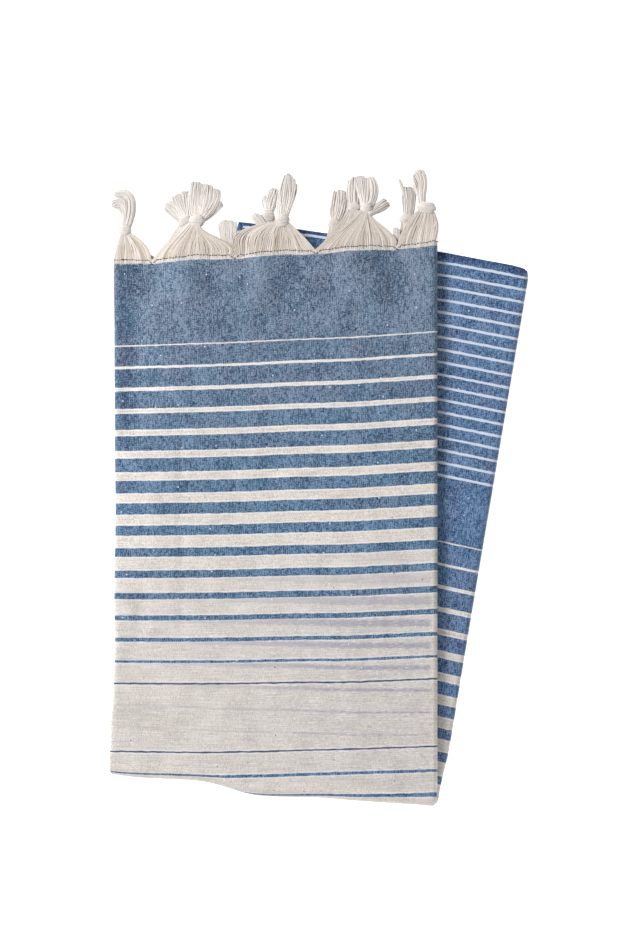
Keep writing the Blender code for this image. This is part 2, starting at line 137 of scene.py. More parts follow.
TURN_PAINTED_SHADE, TURN_REACH = -4.0, 4.0  # painted shade along the turned end of the cloth: as deep in tone as a trough this deep, over this reach

# The hem is drawn in at each knot; its place wanders with finer waves as well
HEM_BOW, HEM_BOW_REACH = 2.3, 30.0
HEM_WAVES = (
    {"pitch": 62.5, "shift": 1.57, "height": 0.9},
    {"pitch": 23.0, "shift": 2.0, "height": 0.22},
    {"pitch": 9.3, "shift": 0.0, "height": 0.12},
)
HEM_REACH = 9.0  # how far from the hem the waves are felt

# Places along the lower edge, in x, and how far it drops there below a straight line
EDGE_DROPS = ((-161.0, 1.9), (-146.0, 2.4), (-92.0, 0.2), (-46.0, 6.7), (12.0, 3.1), (91.0, 0.9))

# The upper half's left side bows: how far it lies to the right of a straight line at a place in y
SIDE_BOWS = ((170.0, -0.8), (110.0, 0.1), (44.0, 1.2), (-25.0, 2.3), (-79.0, 1.9), (-125.0, 2.8),
             (-156.0, 1.9), (-187.0, 0.0), (-219.0, -0.9))
SIDE_FADE = 40.0
# and the lower half's right side the same way
BACK_BOWS = ((168.0, 2.5), (-120.0, 1.9), (-200.0, 2.0), (-232.0, 0.0))

# Corners of the folded towel, rounded this far along each side
CORNERS = (
    {"at": BACK_TOP_RIGHT, "sides": (BACK_TOP_LEFT, LOWER_RIGHT), "round": 5.5},
    {"at": LOWER_RIGHT, "sides": (LOWER_LEFT, HEM_RIGHT), "round": 3.0},
    {"at": LOWER_LEFT, "sides": (LOWER_RIGHT, HEM_LEFT), "round": 1.0},
)

# Columns in each quarter of the width, and in its three side folds; rows along the cloth
QUARTER_COLUMNS = (24, 88, 16, 16)
FOLD_COLUMNS = (8, 6, 8)
HEM_ROWS, HEM_BAND = 7, 12.0
UPPER_ROWS, LOWER_ROWS, BEND_ROWS, TURN_ROWS = 78, 56, 16, 6
INNER_UPPER_ROWS, INNER_LOWER_ROWS = 40, 26


def smooth_step(value):
    value = np.clip(value, 0.0, 1.0)
    return value * value * (3 - 2 * value)


def between(places, spot):
    """A value that eases from place to place."""
    value = places[0][1]
    for (start, before), (end, after) in zip(places, places[1:]):
        value = value + (after - before) * smooth_step((spot - start) / (end - start))
    return value


def unit(vectors):
    return vectors / np.maximum(np.linalg.norm(vectors, axis=-1, keepdims=True), TINY)


def fold_under(points, axis_point, beyond, plies):
    """Turn what lies beyond a line down and back under the stack of plies."""
    arc = bend_length(plies)
    reach = (points[..., 0] - axis_point[0]) * beyond[0] + (points[..., 1] - axis_point[1]) * beyond[1]
    lever = points[..., 2] + PLY_GAP / 2
    angle = math.pi * np.clip(reach / arc, 0.0, 1.0)
    out = np.minimum(reach, 0.0) - np.maximum(reach - arc, 0.0) + BEND_BULGE * lever * np.sin(angle)
    level = lever * np.cos(angle) + stack_height(plies) + PLY_GAP / 2
    shift = out - reach
    return np.stack([points[..., 0] + shift * beyond[0], points[..., 1] + shift * beyond[1], level], -1)


def strip_point(u, v, w):
    """A place on the flat cloth, after folds 1 to 3: across from fold 2, along from the hem, up."""
    u, v, w = np.broadcast_arrays(u, v, w)
    points = np.stack([-u, -v, w], -1).astype(float)
    points = fold_under(points, (0, -FIRST_LEG), (0, -1), 1)
    points = fold_under(points, (-HALF_FOLD, 0), (-1, 0), 2)
    points = fold_under(points, (-QUARTER_FOLD, 0), (1, 0), 4)
    return points[..., 0] + HALF_FOLD, -points[..., 1], points[..., 2]


def laid_point(across, along):
    """Where a place on the folded strip lies in plan, while the strip is still open at fold 4."""
    share = across / PANEL
    upper = np.minimum(along, HALF_WAY)
    lower = np.maximum(along - HALF_WAY, 0.0)
    left = HEM_LEFT[0] + LEFT_SPREAD * upper + LEFT_TAPER * lower
    right = HEM_RIGHT[0] + RIGHT_TAPER * lower
    left_y = HEM_LEFT[1] - LEFT_PACE * along
    right_y = HEM_RIGHT[1] - RIGHT_PACE * along
    sag = HEM_SAG * np.sin(math.pi * np.clip(share, 0.0, 1.0))
    return left + (right - left) * share, left_y + (right_y - left_y) * share - sag


def slant_fold():
    """A point on fold 4's axis, and the direction beyond it."""
    edge = (LOWER_RIGHT - LOWER_LEFT) / np.linalg.norm(LOWER_RIGHT - LOWER_LEFT)
    beyond = np.array((edge[1], -edge[0]))
    return LOWER_LEFT - beyond * BEND_BULGE * bend_reach(8), beyond


SLANT_POINT, SLANT_BEYOND = slant_fold()


def past_fold(x, y, point):
    """How far a place lies past a point, square to fold 4."""
    return (x - point[0]) * SLANT_BEYOND[0] + (y - point[1]) * SLANT_BEYOND[1]


def outside(x, y, start, end):
    """Distance of a place to the left of the line from start to end."""
    edge = (end - start) / np.linalg.norm(end - start)
    return edge[0] * (y - start[1]) - edge[1] * (x - start[0])


def support(x, y):
    """Height of what the upper half lies on: the lower half, or to the left of it the floor."""
    aside = outside(x, y, LOWER_LEFT, BACK_TOP_LEFT)
    return HALF_LIFT * (1 - smooth_step((aside - SIDE_HOLD) / SIDE_SINK))


def fringe_support(x, y):
    """The same for the fringe, which also sinks past the hem and the lower half's upper edge."""
    past = np.maximum(outside(x, y, BACK_TOP_LEFT, BACK_TOP_RIGHT), outside(x, y, HEM_LEFT, BACK_TOP_LEFT))
    return support(x, y) * (1 - smooth_step((past - FRINGE_HOLD) / FRINGE_SINK))


def creases(x, y):
    """Height of the press creases and lumps at a place in plan."""
    total = np.zeros(np.shape(x))
    for row in CREASES:
        start, end = np.array(row.start, float), np.array(row.end, float)
        run = end - start
        share = np.clip(((x - start[0]) * run[0] + (y - start[1]) * run[1]) / run.dot(run), 0.0, 1.0)
        far = np.hypot(x - start[0] - share * run[0], y - start[1] - share * run[1])
        total = total + row.height * np.exp(-(far / row.wide) ** 2)
    return total


def upper_lift(x, y, above):
    """How far the upper half is lifted off the floor, at this height above its own underside."""
    held = support(x, y)
    waves = 0.0
    for row in WAVES:
        turn = math.tau * (x * row["across"] + y * row["along"]) + row["shift"]
        waves = waves + row["height"] * (1 + np.sin(turn))
    share = np.clip(above / HALF_STACK, 0.0, None)
    return held + waves * share * held / HALF_LIFT + creases(x, y) * share ** 2


def lower_edge_step(x, y):
    """The lower edge steps down from left to right: how far a place near it drops."""
    return between(EDGE_DROPS, x) * np.exp(-(past_fold(x, y, LOWER_LEFT) / STEP_FADE) ** 2)


def side_bow(x, y, upper):
    """How far a place moves right, as the upper half's left and the lower half's right side bow."""
    left = between(SIDE_BOWS, y) * np.exp(-(outside(x, y, HEM_LEFT, LOWER_LEFT) / SIDE_FADE) ** 2)
    right = between(BACK_BOWS, y) * np.exp(-(outside(x, y, LOWER_RIGHT, BACK_TOP_RIGHT) / SIDE_FADE) ** 2)
    return left + np.where(upper, 0.0, right)


def hem_shift(u, out):
    """How far the hem wanders along the cloth, at this distance from it."""
    total = sum(row["height"] * np.sin(math.tau * u / row["pitch"] + row["shift"]) for row in HEM_WAVES)
    bow = HEM_BOW * np.sin(math.pi * np.clip((u - QUARTER_FOLD) / PANEL, 0.0, 1.0))
    return total * np.exp(-np.abs(out) / HEM_REACH) + bow * np.exp(-np.abs(out) / HEM_BOW_REACH)


def rounded(x, y):
    """Draw the corners of the folded towel in to arcs, in plan."""
    for corner in CORNERS:
        first, second = (unit(side - corner["at"]) for side in corner["sides"])
        scale = first[0] * second[1] - first[1] * second[0]
        out_x, out_y = x - corner["at"][0], y - corner["at"][1]
        short_1 = corner["round"] - (out_x * second[1] - out_y * second[0]) / scale
        short_2 = corner["round"] - (first[0] * out_y - first[1] * out_x) / scale
        held = (short_1 > 0) & (short_2 > 0)
        far = np.maximum(np.hypot(short_1, short_2), TINY)
        pull = np.where(held, 1 - np.maximum(short_1, short_2) / far, 0)
        x = x + pull * (short_1 * first[0] + short_2 * second[0])
        y = y + pull * (short_1 * first[1] + short_2 * second[1])
    return x, y


def folded(u, v, w):
    """A place on the flat cloth after all four folds, before it sags, lifts or creases."""
    across, along, height = strip_point(u, v, w)
    x, y = laid_point(across, along)
    return fold_under(np.stack([x, y, height], -1), SLANT_POINT, SLANT_BEYOND, 8)


def place(u, v, w):
    """Where a place on the flat cloth lies in the folded towel."""
    points = folded(u, v, w)
    x, y, z = points[..., 0], points[..., 1], points[..., 2]
    above = z - HALF_LIFT
    upper = above > -PLY_GAP / 2
    z = np.where(upper, above + upper_lift(x, y, above), z)
    y = y - lower_edge_step(x, y) + hem_shift(u, v) + hem_shift(u, CLOTH_LENGTH - v)
    x, y = rounded(x + side_bow(x, y, upper), y)
    return np.stack([x, y, z], -1)


# ---------------- materials

def linear(code):
    """An sRGB hex value as linear red, green, blue and alpha."""
    parts = [int(code[start:start + 2], 16) / 255 for start in (0, 2, 4)]
    return [part / 12.92 if part <= 0.04045 else ((part + 0.055) / 1.055) ** 2.4 for part in parts] + [1.0]


def add(tree, kind, inputs=(), **settings):
    """A node with its settings and its inputs, in order or by name; returns its first output in use."""
    node = tree.nodes.new("ShaderNode" + kind)
    for name, value in settings.items():
        setattr(node, name, value)
    for key, value in inputs.items() if isinstance(inputs, dict) else enumerate(inputs):
        if isinstance(value, bpy.types.NodeSocket):
            tree.links.new(value, node.inputs[key])
        else:
            node.inputs[key].default_value = value
    return next(output for output in node.outputs if output.enabled)


def new_material(name, roughness, sheen):
    material = bpy.data.materials.new(name)
    material.use_nodes = True
    shader = material.node_tree.nodes["Principled BSDF"]
    shader.inputs["Roughness"].default_value = roughness
    shader.inputs["Sheen Weight"].default_value = sheen
    shader.inputs["Sheen Roughness"].default_value = 0.5
    shader.inputs["Specular IOR Level"].default_value = 0.25
    return material, material.node_tree, shader


# The stripes, in millimetres from where the blue starts; the pattern is mirrored about the cloth's middle
HEADING = 3.4  # cream between the hem and the blue
PITCH = 17.0
BAND_GROWTH = 0.485  # each stripe is this much wider, to each side, than the one before
WHITE_START, WHITE_LAST = 64.0, 16
WHITE_HALF = 0.5
THREAD_AT, THREAD_HALF = 327.5, 0.55
PLAIN_MIDDLE = 353.0
SINGLE_WITHIN, SINGLE_PAST = 27.0, 40.0  # stripes this near to the plain middle are a single blue pick
BLUE_START, BLUE_LAST = 378.5, 15
BLUE_HALF = 0.55
BORDER_START = 642.4  # plain blue, then even white lines
LINES_START, LINE_PITCH, LINE_HALF = 692.2, 9.54, 0.95
LINE_LAST = 40
PATTERN_MIDDLE = LINES_START + 15.5 * LINE_PITCH
EDGE_SOFTNESS = 0.5  # a stripe's edge is as uneven as a yarn is thick
EDGE_WANDER = 0.3

# The pattern runs slower where the slant fold starts, and a little faster past it
SLANT_EXTRA = 4.3
BACK_RUN = 1.013
RIM_PACE = 0.8
# Just above the fold it is a little stretched, more so on the left.  It wanders too: how much lower it lies
# at a place across the cloth
SLACK, SLACK_FROM, SLACK_RIGHT, SLACK_WIDE = 0.075, 380.0, 305.0, 80.0
SLACK_LEFT, SLACK_EARLY = 0.03, 17.0
STRIPE_WANDER = ((250.0, 0.9), (305.0, 0.6), (368.0, -0.7), (430.0, -0.5), (500.0, -0.2))
WANDER_IN = 60.0
BACK_RISE, RISE_FROM, RISE_WIDE = 5.4, 190.0, 100.0  # on the back it runs ahead towards the left

# The blue weft is beaten up less closely near the hems, so more of the cream warp shows there
OPEN_BLUE = ("24374e", "8595a9")
CLOSE_BLUE = ("1b3354", "7392ae")
DEEP_BLUE = ("18305a", "7796bb")
OPEN_FOR, CLOSE_FOR = 210.0, 560.0
ROSY_BLUE, GREEN_BLUE, SINGLE_BLUE = "706d78", "446a7e", "2e3547"
CREAM = ("aaa49e", "d8d1cb")
EDGE_CREAM = "dfe0e6"
EDGE_AT, EDGE_FADE, EDGE_SHARE = 0.6, 0.9, 0.45  # where in a stripe the cooler white lies
BORDER_CREAM = "bec5d3"  # the lines of the border are thin, and the blue beside them cools them

# The blue stripes of the ply behind show faintly through the cream
GHOST_BLUE = "90919f"
GHOST_SHIFT = 41.8  # the second hem stops this short of the first, and its stripes lie lower
GHOST_FROM = 275.0  # u at which they do; they drift up towards the other side
GHOST_SLIP = -0.040
GHOST_LEAST, GHOST_MOST = 0.5, 1.0
GHOST_RIGHT, GHOST_FULL = 440.0, 300.0
GHOST_TOP, GHOST_FADE = 215.0, 80.0

# Dark motes and pale knots spun into the yarn, chosen by chance from one spot in each cell
NEP_CELL, NEP_RADIUS, NEP_FADE = 22.0, 0.64, 0.4
NEPS = (('GREATER_THAN', 0.8, "2c3848"), ('LESS_THAN', 0.5, "d9dce0"))
# Thread crossings and warp ribs are drawn coarser than the real ones, 0.5 mm apart, so that they show
CROSSING, WARP_PITCH = 0.55, 1.6
PAINTED_RELIEF_SHADE = 0.16  # painted shade and light: the colour in a crease 1 mm deep is painted this much deeper, and on a lump this much paler

COOL_YARN, WARM_YARN = ("9c958f", "d3cecb"), ("9f9181", "d3cac2")
INDIGO_THREAD = ("2b2b36", "5b5660")
YARN_FUZZ, THREAD_FUZZ = 10 / 7, 10 / 9  # from spot to spot of their loose fibres


def stripe_depth(new, place_mm):
    """How deep in the cream a place of the pattern lies, in millimetres; it is negative in the blue."""
    def band(start, pitch, last, half, growth):
        """Depth inside evenly pitched bands that grow with their number."""
        number = new("Math", (place_mm, start), operation='SUBTRACT')
        number = new("Math", (number, pitch), operation='DIVIDE')
        number = new("Math", (number,), operation='ROUND')
        number = new("Clamp", (number, 0.0, last))
        middle = new("Math", (number, pitch, start), operation='MULTIPLY_ADD')
        offset = new("Math", (place_mm, middle), operation='SUBTRACT')
        offset = new("Math", (offset,), operation='ABSOLUTE')
        reach = new("Math", (number, growth, half), operation='MULTIPLY_ADD')
        return new("Math", (reach, offset), operation='SUBTRACT')

    white = band(WHITE_START, PITCH, WHITE_LAST, WHITE_HALF, BAND_GROWTH)
    past_last = new("Math", (place_mm, WHITE_START + WHITE_LAST * PITCH), operation='SUBTRACT')
    white = new("Math", (white, past_last), operation='MAXIMUM')
    thread = new("Math", (band(THREAD_AT, PITCH, 0.0, THREAD_HALF, 0.0), -1.0), operation='MULTIPLY')
    white = new("Math", (white, thread), operation='MINIMUM')
    plain = band(BLUE_START, PITCH, BLUE_LAST, BLUE_HALF, BAND_GROWTH)
    plain = new("Math", (plain, -1.0), operation='MULTIPLY')
    to_border = new("Math", (BORDER_START, place_mm), operation='SUBTRACT')
    plain = new("Math", (plain, to_border), operation='MINIMUM')
    past_middle = new("Math", (place_mm, PLAIN_MIDDLE), operation='GREATER_THAN')
    body = new("Mix", {0: past_middle, 2: white, 3: plain}, data_type='FLOAT')
    lines = band(LINES_START, LINE_PITCH, LINE_LAST, LINE_HALF, 0.0)
    body = new("Math", (body, lines), operation='MAXIMUM')
    heading = new("Math", (place_mm, -1.0), operation='MULTIPLY')
    return new("Math", (body, heading), operation='MAXIMUM')


def weave_noises(new, flat_mm, across):
    """Noises about 0, by name, that the tones of the yarns are mixed from."""
    def soft(wide, long, detail=0.0):
        """Spots with soft edges, this many millimetres across and along the cloth."""
        scaled = new("VectorMath", (flat_mm, (1 / wide, 1 / long, 1.0)), operation='MULTIPLY')
        noise = new("TexNoise", {"Vector": scaled, "Scale": 1.0, "Detail": detail}, noise_dimensions='2D')
        return new("Math", (noise, 0.5), operation='SUBTRACT')

    def crisp(wide, long):
        """The same with crisp edges."""
        scaled = new("VectorMath", (flat_mm, (1 / wide, 1 / long, 1.0)), operation='MULTIPLY')
        cell = new("VectorMath", (scaled,), operation='FLOOR')
        noise = new("TexWhiteNoise", {"Vector": cell}, noise_dimensions='2D')
        return new("Math", (noise, 0.5), operation='SUBTRACT')

    ribs = new("Math", (across, math.tau / WARP_PITCH), operation='MULTIPLY')
    return {
        "grain": crisp(CROSSING, CROSSING),
        "float_over": crisp(WARP_PITCH / 2, 2.6),
        "ribs": new("Math", (ribs,), operation='SINE'),
        "warp": soft(0.7, 4.0),
        "weft": soft(24.0, 0.8),
        "slub": soft(4.0, 0.7),
        "cloud": soft(15.0, 20.0, 2.0),
        "tint": soft(22.0, 30.0, 3.0),
        "wander": soft(6.0, 2.0),
        # painted shade and light: the heights of the creases, lumps and turned end, which deepen or pale the
        # colour
        "lump": new("Attribute", attribute_name="crease").node.outputs["Fac"],
    }


def weighed(new, noises, base, **weights):
    """base and the sum of the named noises, each times its weight."""
    for name, weight in weights.items():
        base = new("Math", (noises[name], weight, base), operation='MULTIPLY_ADD')
    return base


def blue_yarns(new, toned, pattern):
    """Blue weft flecked by the cream warp, on a paler ground near the hem and a deeper one further in."""
    # with painted shade in the creases and painted light on the lumps
    pale = toned(0.45, grain=0.85, float_over=0.5, warp=0.5, ribs=0.1, slub=0.7, cloud=0.6, lump=PAINTED_RELIEF_SHADE)
    pale = new("Clamp", (pale,))
    closer = new("MapRange", {0: pattern, 1: 0.0, 2: OPEN_FOR}, interpolation_type='SMOOTHSTEP')
    deeper = new("MapRange", {0: pattern, 1: OPEN_FOR, 2: CLOSE_FOR}, interpolation_type='SMOOTHSTEP')
    ends = []
    for open_code, close_code, deep_code in zip(OPEN_BLUE, CLOSE_BLUE, DEEP_BLUE):
        near = new("Mix", {0: closer, 6: linear(open_code), 7: linear(close_code)}, data_type='RGBA')
        ends.append(new("Mix", {0: deeper, 6: near, 7: linear(deep_code)}, data_type='RGBA'))
    blue = new("Mix", {0: pale, 6: ends[0], 7: ends[1]}, data_type='RGBA')
    rosy = new("Clamp", (toned(0.0, tint=0.8, slub=0.6, float_over=0.3), 0.0, 0.3))
    blue = new("Mix", {0: rosy, 6: blue, 7: linear(ROSY_BLUE)}, data_type='RGBA')
    green = new("Clamp", (toned(0.0, tint=-0.8, warp=0.5, float_over=-0.3), 0.0, 0.3))
    blue = new("Mix", {0: green, 6: blue, 7: linear(GREEN_BLUE)}, data_type='RGBA')

    # a single blue pick lies between cream ones, and looks thin and dark
    from_plain = new("Math", (pattern, PLAIN_MIDDLE), operation='SUBTRACT')
    from_plain = new("Math", (from_plain,), operation='ABSOLUTE')
    single = new("MapRange", {0: from_plain, 1: SINGLE_WITHIN, 2: SINGLE_PAST, 3: 0.7, 4: 0.0})
    return new("Mix", {0: single, 6: blue, 7: linear(SINGLE_BLUE)}, data_type='RGBA')


def cream_yarns(new, toned, pattern, depth):
    """Cream with long weft lines; the first yarns beside the blue and the border's lines are cooler."""
    # with painted shade in the creases and painted light on the lumps
    light = toned(0.55, grain=0.9, weft=0.65, slub=0.4, warp=0.5, cloud=0.6, lump=PAINTED_RELIEF_SHADE)
    light = new("Clamp", (light,))
    cream = new("Mix", {0: light, 6: linear(CREAM[0]), 7: linear(CREAM[1])}, data_type='RGBA')
    rim = new("Math", (depth, EDGE_AT), operation='SUBTRACT')
    rim = new("Math", (rim,), operation='ABSOLUTE')
    rim = new("Math", (rim, -EDGE_SHARE / EDGE_FADE, EDGE_SHARE), operation='MULTIPLY_ADD', use_clamp=True)
    past_heading = new("Math", (pattern, 0.0), operation='GREATER_THAN')
    rim = new("Math", (rim, past_heading), operation='MULTIPLY')
    cream = new("Mix", {0: rim, 6: cream, 7: linear(EDGE_CREAM)}, data_type='RGBA')
    in_border = new("Math", (pattern, BORDER_START), operation='GREATER_THAN')
    return new("Mix", {0: in_border, 6: cream, 7: linear(BORDER_CREAM)}, data_type='RGBA')


def with_ghosts(new, toned, cream, from_hem, across):
    """The cream with the blue stripes of the ply behind, broken up by the weave."""
    slip = new("Math", (across, GHOST_SLIP, GHOST_SHIFT - GHOST_FROM * GHOST_SLIP), operation='MULTIPLY_ADD')
    behind = stripe_depth(new, new("Math", (from_hem, slip), operation='SUBTRACT'))
    ghost = new("Math", (behind, -0.6, 0.3), operation='MULTIPLY_ADD', use_clamp=True)
    ghost = new("Math", (ghost, 0.8, 0.05), operation='MULTIPLY_ADD')
    ghost = new("Clamp", (toned(ghost, grain=0.9, slub=1.5),))
    strength = new("Attribute", attribute_name="show_through").node.outputs["Fac"]
    ghost = new("Math", (ghost, strength), operation='MULTIPLY')
    return new("Mix", {0: ghost, 6: cream, 7: linear(GHOST_BLUE)}, data_type='RGBA')


def with_neps(new, flat_mm, colour):
    """The colour with its dark motes and pale knots."""
    cell = new("VectorMath", (flat_mm, (1 / NEP_CELL, 1 / NEP_CELL, 1.0)), operation='MULTIPLY')
    spot = new("TexVoronoi", {"Vector": cell, "Scale": 1.0}, voronoi_dimensions='2D')
    fall, full = -NEP_CELL / NEP_FADE, NEP_RADIUS / NEP_FADE
    nep = new("Math", (spot, fall, full), operation='MULTIPLY_ADD', use_clamp=True)
    chance = new("SeparateColor", (spot.node.outputs["Color"],))
    for test, bound, code in NEPS:
        chosen = new("Math", (chance, bound), operation=test)
        chosen = new("Math", (nep, chosen), operation='MULTIPLY')
        colour = new("Mix", {0: chosen, 6: colour, 7: linear(code)}, data_type='RGBA')
    return colour


def woven_cotton():
    """Plain-woven cotton: blue and cream weft over a cream warp, so the blue is broken by pale flecks."""
    material, tree, shader = new_material("plain_woven_cotton", 0.92, 0.12)
    new = partial(add, tree)
    flat_mm = new("VectorMath", {0: new("UVMap", uv_map="flat_cloth"), 3: 1 / MM}, operation='SCALE')
    across, along, _ = new("SeparateXYZ", (flat_mm,)).node.outputs
    toned = partial(weighed, new, weave_noises(new, flat_mm, across))

    from_hem = new("Math", (along, HEADING), operation='SUBTRACT')
    from_hem = toned(from_hem, wander=2 * EDGE_WANDER)
    mirrored = new("Math", (2 * PATTERN_MIDDLE, from_hem), operation='SUBTRACT')
    pattern = new("Math", (from_hem, mirrored), operation='MINIMUM')
    depth = stripe_depth(new, pattern)
    blue = blue_yarns(new, toned, pattern)
    cream = with_ghosts(new, toned, cream_yarns(new, toned, pattern, depth), from_hem, across)
    cream_share = new("Math", (depth, 1 / EDGE_SOFTNESS, 0.5), operation='MULTIPLY_ADD', use_clamp=True)
    colour = new("Mix", {0: cream_share, 6: blue, 7: cream}, data_type='RGBA')
    tree.links.new(with_neps(new, flat_mm, colour), shader.inputs["Base Color"])

    relief = toned(0.5, warp=0.5, weft=0.5, grain=0.5)
    bump = new("Bump", {"Height": relief, "Strength": 0.3, "Distance": 0.4 * MM})
    tree.links.new(bump, shader.inputs["Normal"])
    return material


def yarn_cotton():
    """Soft-twisted cotton yarn, each of its own tone, and warmer in the skirts than in the loose tails."""
    material, tree, shader = new_material("soft_twist_cotton_yarn", 0.9, 0.15)
    new = partial(add, tree)
    tone = new("Attribute", attribute_name="tone").node.outputs["Fac"]
    warm = new("Attribute", attribute_name="warmth").node.outputs["Fac"]
    spot = new("TexCoord").node.outputs["Object"]
    fuzz = new("TexNoise", {"Vector": spot, "Scale": 1 / (YARN_FUZZ * MM), "Detail": 2.0})
    shade = new("Math", (fuzz, 0.4, tone), operation='MULTIPLY_ADD', use_clamp=True)
    ends = [new("Mix", {0: warm, 6: linear(cool_code), 7: linear(warm_code)}, data_type='RGBA')
            for cool_code, warm_code in zip(COOL_YARN, WARM_YARN)]
    colour = new("Mix", {0: shade, 6: ends[0], 7: ends[1]}, data_type='RGBA')
    tree.links.new(colour, shader.inputs["Base Color"])

    twist = new("TexWave", {"Vector": new("UVMap", uv_map="yarn_run"), "Scale": 1.0, "Distortion": 0.6},
                wave_type='BANDS', bands_direction='DIAGONAL')
    bump = new("Bump", {"Height": twist, "Strength": 0.3, "Distance": 0.2 * MM})
    tree.links.new(bump, shader.inputs["Normal"])
    return material


def sewing_thread():
    """Mercerised sewing cotton, indigo: smoother and a little glossier than the cloth."""
    material, tree, shader = new_material("mercerised_sewing_cotton", 0.6, 0.05)
    new = partial(add, tree)
    spot = new("TexCoord").node.outputs["Object"]
    fuzz = new("TexNoise", {"Vector": spot, "Scale": 1 / (THREAD_FUZZ * MM), "Detail": 1.0})
    dark, pale = (linear(code) for code in INDIGO_THREAD)
    tree.links.new(new("Mix", {0: fuzz, 6: dark, 7: pale}, data_type='RGBA'), shader.inputs["Base Color"])
    return material


# ---------------- cloth

def column_stations():
    """Places of the grid's columns across the flat cloth."""
    ends = (0.0, QUARTER_FOLD - ARC_3, QUARTER_FOLD, HALF_FOLD, HALF_FOLD + ARC_2,
            CLOTH_WIDTH - QUARTER_FOLD, CLOTH_WIDTH - QUARTER_FOLD + ARC_3, CLOTH_WIDTH)
    counts = (QUARTER_COLUMNS[0], FOLD_COLUMNS[0], QUARTER_COLUMNS[1], FOLD_COLUMNS[1],
              QUARTER_COLUMNS[2], FOLD_COLUMNS[2], QUARTER_COLUMNS[3])
    spans = zip(ends, ends[1:], counts)
    runs = [np.linspace(start, end, count, endpoint=False) for start, end, count in spans]
    return np.concatenate(runs + [[CLOTH_WIDTH]])


def row_stations(columns):
    """Places of the grid's rows along the flat cloth, one row of the result for each row of the grid."""
    across = strip_point(columns, 0.0, 0.0)[0]
    start = past_fold(*laid_point(across, 0.0), SLANT_POINT)
    end = past_fold(*laid_point(across, HALF_WAY), SLANT_POINT)
    pace = (end - start) / HALF_WAY
    bend, bent = -start / pace, (ARC_4 - start) / pace
    short = FIRST_LEG - SECOND_LEG

    def run(first, last, count):
        return [first + (last - first) * step / count for step in range(count)]

    zero = np.zeros_like(columns)
    leg = run(zero, zero + HEM_BAND, HEM_ROWS) + run(zero + HEM_BAND, bend, UPPER_ROWS)
    leg += run(bend, bent, BEND_ROWS) + run(bent, zero + FIRST_LEG, LOWER_ROWS)
    leg += run(zero + FIRST_LEG, zero + FIRST_LEG + ARC_1, TURN_ROWS)
    inner = run(zero + short, zero + short + HEM_BAND, HEM_ROWS)
    inner += run(zero + short + HEM_BAND, bend, INNER_UPPER_ROWS)
    inner += run(bend, bent, BEND_ROWS) + run(bent, zero + FIRST_LEG, INNER_LOWER_ROWS) + [zero + FIRST_LEG]
    return np.array(leg + [2 * FIRST_LEG + ARC_1 - row for row in reversed(inner)])


def pattern_place(u, v, bend, bent, step):
    """Where a place lies in the woven pattern; the stripes stay straight where the lower edge steps."""
    share = np.clip((v - bend) / (bent - bend), 0.0, 1.0)
    front = np.minimum(v, bend)
    left = smooth_step((u - SLACK_RIGHT) / SLACK_WIDE)
    slack = (SLACK + SLACK_LEFT * left) * np.maximum(front - SLACK_FROM + SLACK_EARLY * left, 0.0)
    slack = slack + between(STRIPE_WANDER, u) * smooth_step(v / WANDER_IN)
    rim = RIM_PACE * (bent - bend) * share + ((1 - RIM_PACE) * (bent - bend) + SLANT_EXTRA) * share ** 2
    rise = BACK_RISE * smooth_step((RISE_FROM - u) / RISE_WIDE) * smooth_step(share)
    past = BACK_RUN * np.maximum(v - bent, 0.0)
    return front - slack * (1 - share) + rim + rise + past + step


def make_piece(name, shape, material):
    mesh = bpy.data.meshes.new(name)
    shape.to_mesh(mesh)
    shape.free()
    mesh.materials.append(material)
    mesh.shade_smooth()
    piece = bpy.data.objects.new(name, mesh)
    bpy.context.scene.collection.objects.link(piece)
    return piece


def dress(piece, slot, *nodes):
    """The piece moves with the towel and stands for these solids, which are hidden; slot is not used."""
    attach(piece, "root")
    if nodes:
        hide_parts(*nodes)


def lay_pattern(shape, u, v, w, bend, bent):
    """Give the cloth its UV map, its place in the woven pattern, how far it is sheer, and its painted shade
    and light from creases, lumps and the turned end.
    """
    turn = FIRST_LEG + ARC_1 / 2
    flat_laid = folded(u, v, w)
    step = lower_edge_step(flat_laid[:, 0], flat_laid[:, 1])
    woven = pattern_place(u, np.minimum(v, 2 * turn - v), bend, bent, step)
    woven = np.where(v > turn, 2 * pattern_place(u, turn, bend, bent, 0.0) - woven, woven)
    layer = shape.loops.layers.uv.new("flat_cloth")
    shape.verts.index_update()
    for face in shape.faces:
        for loop in face.loops:
            index = loop.vert.index
            loop[layer].uv = (u[index] * MM, woven[index] * MM)

    top = (u > QUARTER_FOLD) & (u < HALF_FOLD) & (v < bend)
    near = smooth_step((GHOST_RIGHT - u) / (GHOST_RIGHT - GHOST_FULL))
    shown = (GHOST_LEAST + (GHOST_MOST - GHOST_LEAST) * near) * smooth_step((v - GHOST_TOP) / GHOST_FADE)
    # painted shade along the turned end of the cloth
    turn_shade = TURN_PAINTED_SHADE * np.exp(-((v - turn) / TURN_REACH) ** 2)
    # painted shade in the upper half's creases and painted light on its lumps
    painted_shade_heights = np.where(top, creases(flat_laid[:, 0], flat_laid[:, 1]), turn_shade)
    ghost = shape.verts.layers.float.new("show_through")
    crease = shape.verts.layers.float.new("crease")
    for vert, share, height in zip(shape.verts, np.where(top, shown, 0.0), painted_shade_heights):
        vert[ghost] = share
        vert[crease] = height


